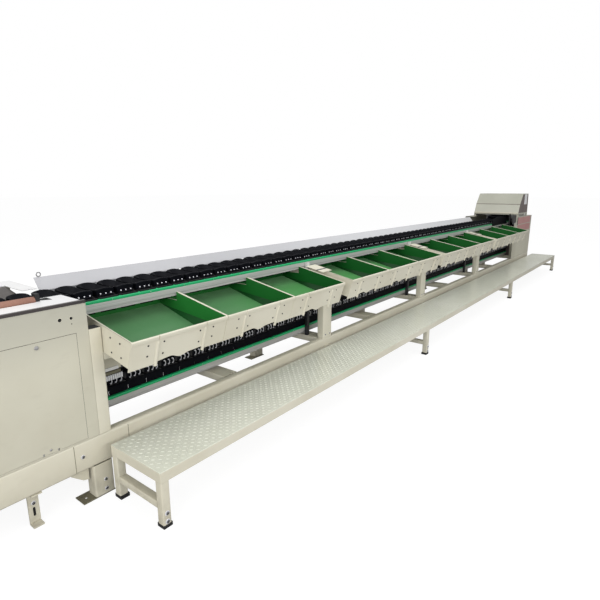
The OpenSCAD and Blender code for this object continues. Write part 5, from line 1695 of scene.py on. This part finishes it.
@dataclass
class SmallParts:
    """Plates, guards and housings with softened edges, the frame's bolts, dark plates of painted shade in the
    feet's slots, and beam joints.
    """

    shop: Workshop
    sheets: Sizes = (("foot_plates", 1.5), ("guard_plate", 0.6), ("guard_eye", 0.6), ("weigh_bridge", 1.5),
                     ("platform_pads", 1.5))
    bolt_levels: Triple = (0.2, 1.15, 0.25)
    washer: float = 1.3
    slot: Triple = (11.6, 41.3, 87.7)
    slot_y: Pair = (57.0, 59.8)
    slot_edge: float = 0.2
    front_row: float = 100.0
    gusset: Outline = ((-152.0, 180.0), (-148.0, 162.0), (-93.0, 117.0), (-68.0, 110.0), (-62.0, 110.0),
                       (-62.0, 180.0))
    gusset_y: Pair = (28.0, 33.0)
    seams: tuple[float, ...] = (-134.0, 158.0)
    seam_half: float = 1.3
    seam_y: Pair = (-0.6, 1.0)
    seam_in: float = 8.0
    seam_edge: float = 0.1

    def build(self) -> None:
        """Softens each node in turn, sets the frame's bolts and adds what goes on feet and beams."""
        for node, edge in self.sheets:
            self.shop.softened(node, edge, Finish.PRIMER if node == "foot_plates" else None)
        self.bolts()
        self.slots()
        self.beam_joints()

    def beam_joints(self) -> None:
        """The gusset between the near beam and its foot tube, and the butt seams on the beam's front face."""
        shop, half = self.shop, self.seam_half
        shop.piece("beam_gusset", shop.plate(self.gusset, self.gusset_y), Finish.CREAM, "cream_paint")
        (_, front, low), (_, _, high) = shop.span("base_beams")
        (y0, y1), z0, z1 = front + np.array(self.seam_y), low + self.seam_in, high - self.seam_in
        lines = [shop.block((x - half, y0, z0), (x + half, y1, z1), self.seam_edge) for x in self.seams]
        shop.piece("beam_seams", joined(lines), Finish.PRIMER, "cream_paint")

    def bolts(self) -> None:
        """Domed hexagon heads on round washers, each in the place of a plain CAD bolt on a front face."""
        heads, rings = [], []
        turn = turn_about(Axis.X, np.array([math.pi / 2]))
        for low, high in self.shop.solids("frame_bolts"):
            (wide, height, _), mid = (high - low) / MM, (low + high) / 2
            head, ring = hex_bolt(wide / 2, height, self.washer, self.bolt_levels)
            place = np.array([[mid[0], high[1], mid[2]]])
            heads.append(head.copies(turn, place))
            rings.append(ring.copies(turn, place))
        self.shop.piece("bolt_heads", joined(heads), Finish.BOLT, "steel", nodes=["frame_bolts"])
        self.shop.piece("bolt_washers", joined(rings), Finish.CLIP, "steel")

    def slots(self) -> None:
        """A dark plate in the slot of each front levelling foot, just behind its front face: painted shade in the
        slot.
        """
        (wide, z0, z1), (y0, y1), backs = self.slot, self.slot_y, []
        for low, high in (self.shop.solids("levelling_feet") - self.shop.origin) / MM:
            if low[1] < self.front_row:
                x, foot = (low[0] + high[0]) / 2, low[2]
                near, far = (x - wide / 2, y0, foot + z0), (x + wide / 2, y1, foot + z1)
                backs.append(self.shop.block(near, far, self.slot_edge))
        self.shop.piece("slot_shadow_plates", joined(backs), Finish.HOLE, "block_black")


# Camera, lamps and floor


@dataclass
class Studio:
    """Camera, soft lamps and a white floor that keeps the machine's shadow; lengths in metres."""

    eye: Triple = (-5.0855, -2.3013, 1.5407)
    heading: float = 37.806
    pitch: float = 13.338
    lens: float = 28.22
    sensor: float = 36.0
    sight: float = 400.0
    ambient: float = 0.56
    floor_glow: float = 0.90
    floor_share: float = 0.16
    floor_bounce: float = 0.45
    floor_half: float = 90.0
    lamps: tuple[tuple[str, Triple, Triple, Pair, float], ...] = (
        ("overhead", (-1.6, -0.5, 6.5), (-0.6, 0.0, 0.5), (11.0, 5.0), 330.0),
        ("near_end", (-9.5, -3.0, 2.6), (-2.0, 0.0, 0.6), (4.0, 3.5), 220.0),
        ("front_fill", (-3.6, -6.5, 2.5), (-2.4, 0.0, 0.7), (5.0, 1.4), 125.0))

    def put(self, name: str, data: Any) -> bpy.types.Object:
        """Links a new object with the given data to the scene."""
        made = bpy.data.objects.new(name, data)
        bpy.context.scene.collection.objects.link(made)
        return made

    def camera(self) -> None:
        """A level camera that looks along the heading and down by the pitch."""
        data = bpy.data.cameras.new("photo_camera")
        data.lens, data.sensor_width, data.clip_end = self.lens, self.sensor, self.sight
        made = self.put("photo_camera", data)
        h, p = math.radians(self.heading), math.radians(self.pitch)
        forward = Vector((math.cos(h) * math.cos(p), math.sin(h) * math.cos(p), -math.sin(p)))
        made.location = self.eye
        made.rotation_euler = forward.to_track_quat("-Z", "Y").to_euler()
        bpy.context.scene.camera = made

    def lamp(self, name: str, place: Triple, target: Triple, size: Pair, power: float) -> None:
        """One rectangular soft lamp that looks at a target."""
        data = bpy.data.lights.new(name, "AREA")
        data.shape, data.size, data.size_y, data.energy = "RECTANGLE", size[0], size[1], power
        made = self.put(name, data)
        made.location = place
        made.rotation_euler = (Vector(target) - Vector(place)).to_track_quat("-Z", "Y").to_euler()

    def floor(self) -> None:
        """A wide floor, mostly its own white where the camera sees it, so that it keeps a faint shadow."""
        t = Tree("floor_white")
        seen = t.node("ShaderNodeLightPath", {}, {}, "Is Camera Ray")
        greys = (0.0, self.floor_glow, self.floor_bounce, self.floor_share)
        black, glow, bounce, share = ((v, v, v, 1.0) for v in greys)
        paint = t.finish({"Base Color": t.mix(seen, bounce, share), "Roughness": 0.9,
                          "Specular IOR Level": 0.0, "Emission Color": t.mix(seen, black, glow),
                          "Emission Strength": 1.0})
        mesh = bpy.data.meshes.new("floor")
        h = self.floor_half
        mesh.from_pydata([(-h, -h, 0), (h, -h, 0), (h, h, 0), (-h, h, 0)], [], [(0, 1, 2, 3)])
        mesh.materials.append(paint)
        made = self.put("floor", mesh)

    def sky(self) -> None:
        """An even white surround, at full white where the camera sees it."""
        world = bpy.data.worlds.new("surround")
        bpy.context.scene.world = world
        world.use_nodes = True
        nodes, links = world.node_tree.nodes, world.node_tree.links
        back = nodes["Background"]
        path = nodes.new("ShaderNodeLightPath")
        strength = nodes.new("ShaderNodeMapRange")
        links.new(path.outputs["Is Camera Ray"], strength.inputs[0])
        strength.inputs[3].default_value = self.ambient
        links.new(strength.outputs[0], back.inputs["Strength"])
        back.inputs["Color"].default_value = (1.0, 1.0, 1.0, 1.0)

    def build(self) -> None:
        """Sets up the stage and the plain view transform."""
        self.camera()
        self.floor()
        self.sky()
        for lamp in self.lamps:
            self.lamp(*lamp)
        scene = bpy.context.scene
        scene.view_settings.view_transform = "Standard"
        scene.view_settings.look = "None"


def main() -> None:
    """Loads the frame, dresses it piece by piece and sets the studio."""
    logging.basicConfig(level=logging.INFO, format="%(message)s", stream=sys.stdout)
    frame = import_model()
    shop = Workshop(frame)
    TubeFrame(shop).build()
    for number in range(1, 5):
        TrayGroup(shop, number).build()
    CupLine(shop).build()
    Track(shop).build()
    InfeedCabinet(shop).build()
    HeadCabinet(shop).build()
    Platform(shop).build()
    SmallParts(shop).build()
    shop.dress_rest()
    Studio().build()


if __name__ == "__main__":
    main()
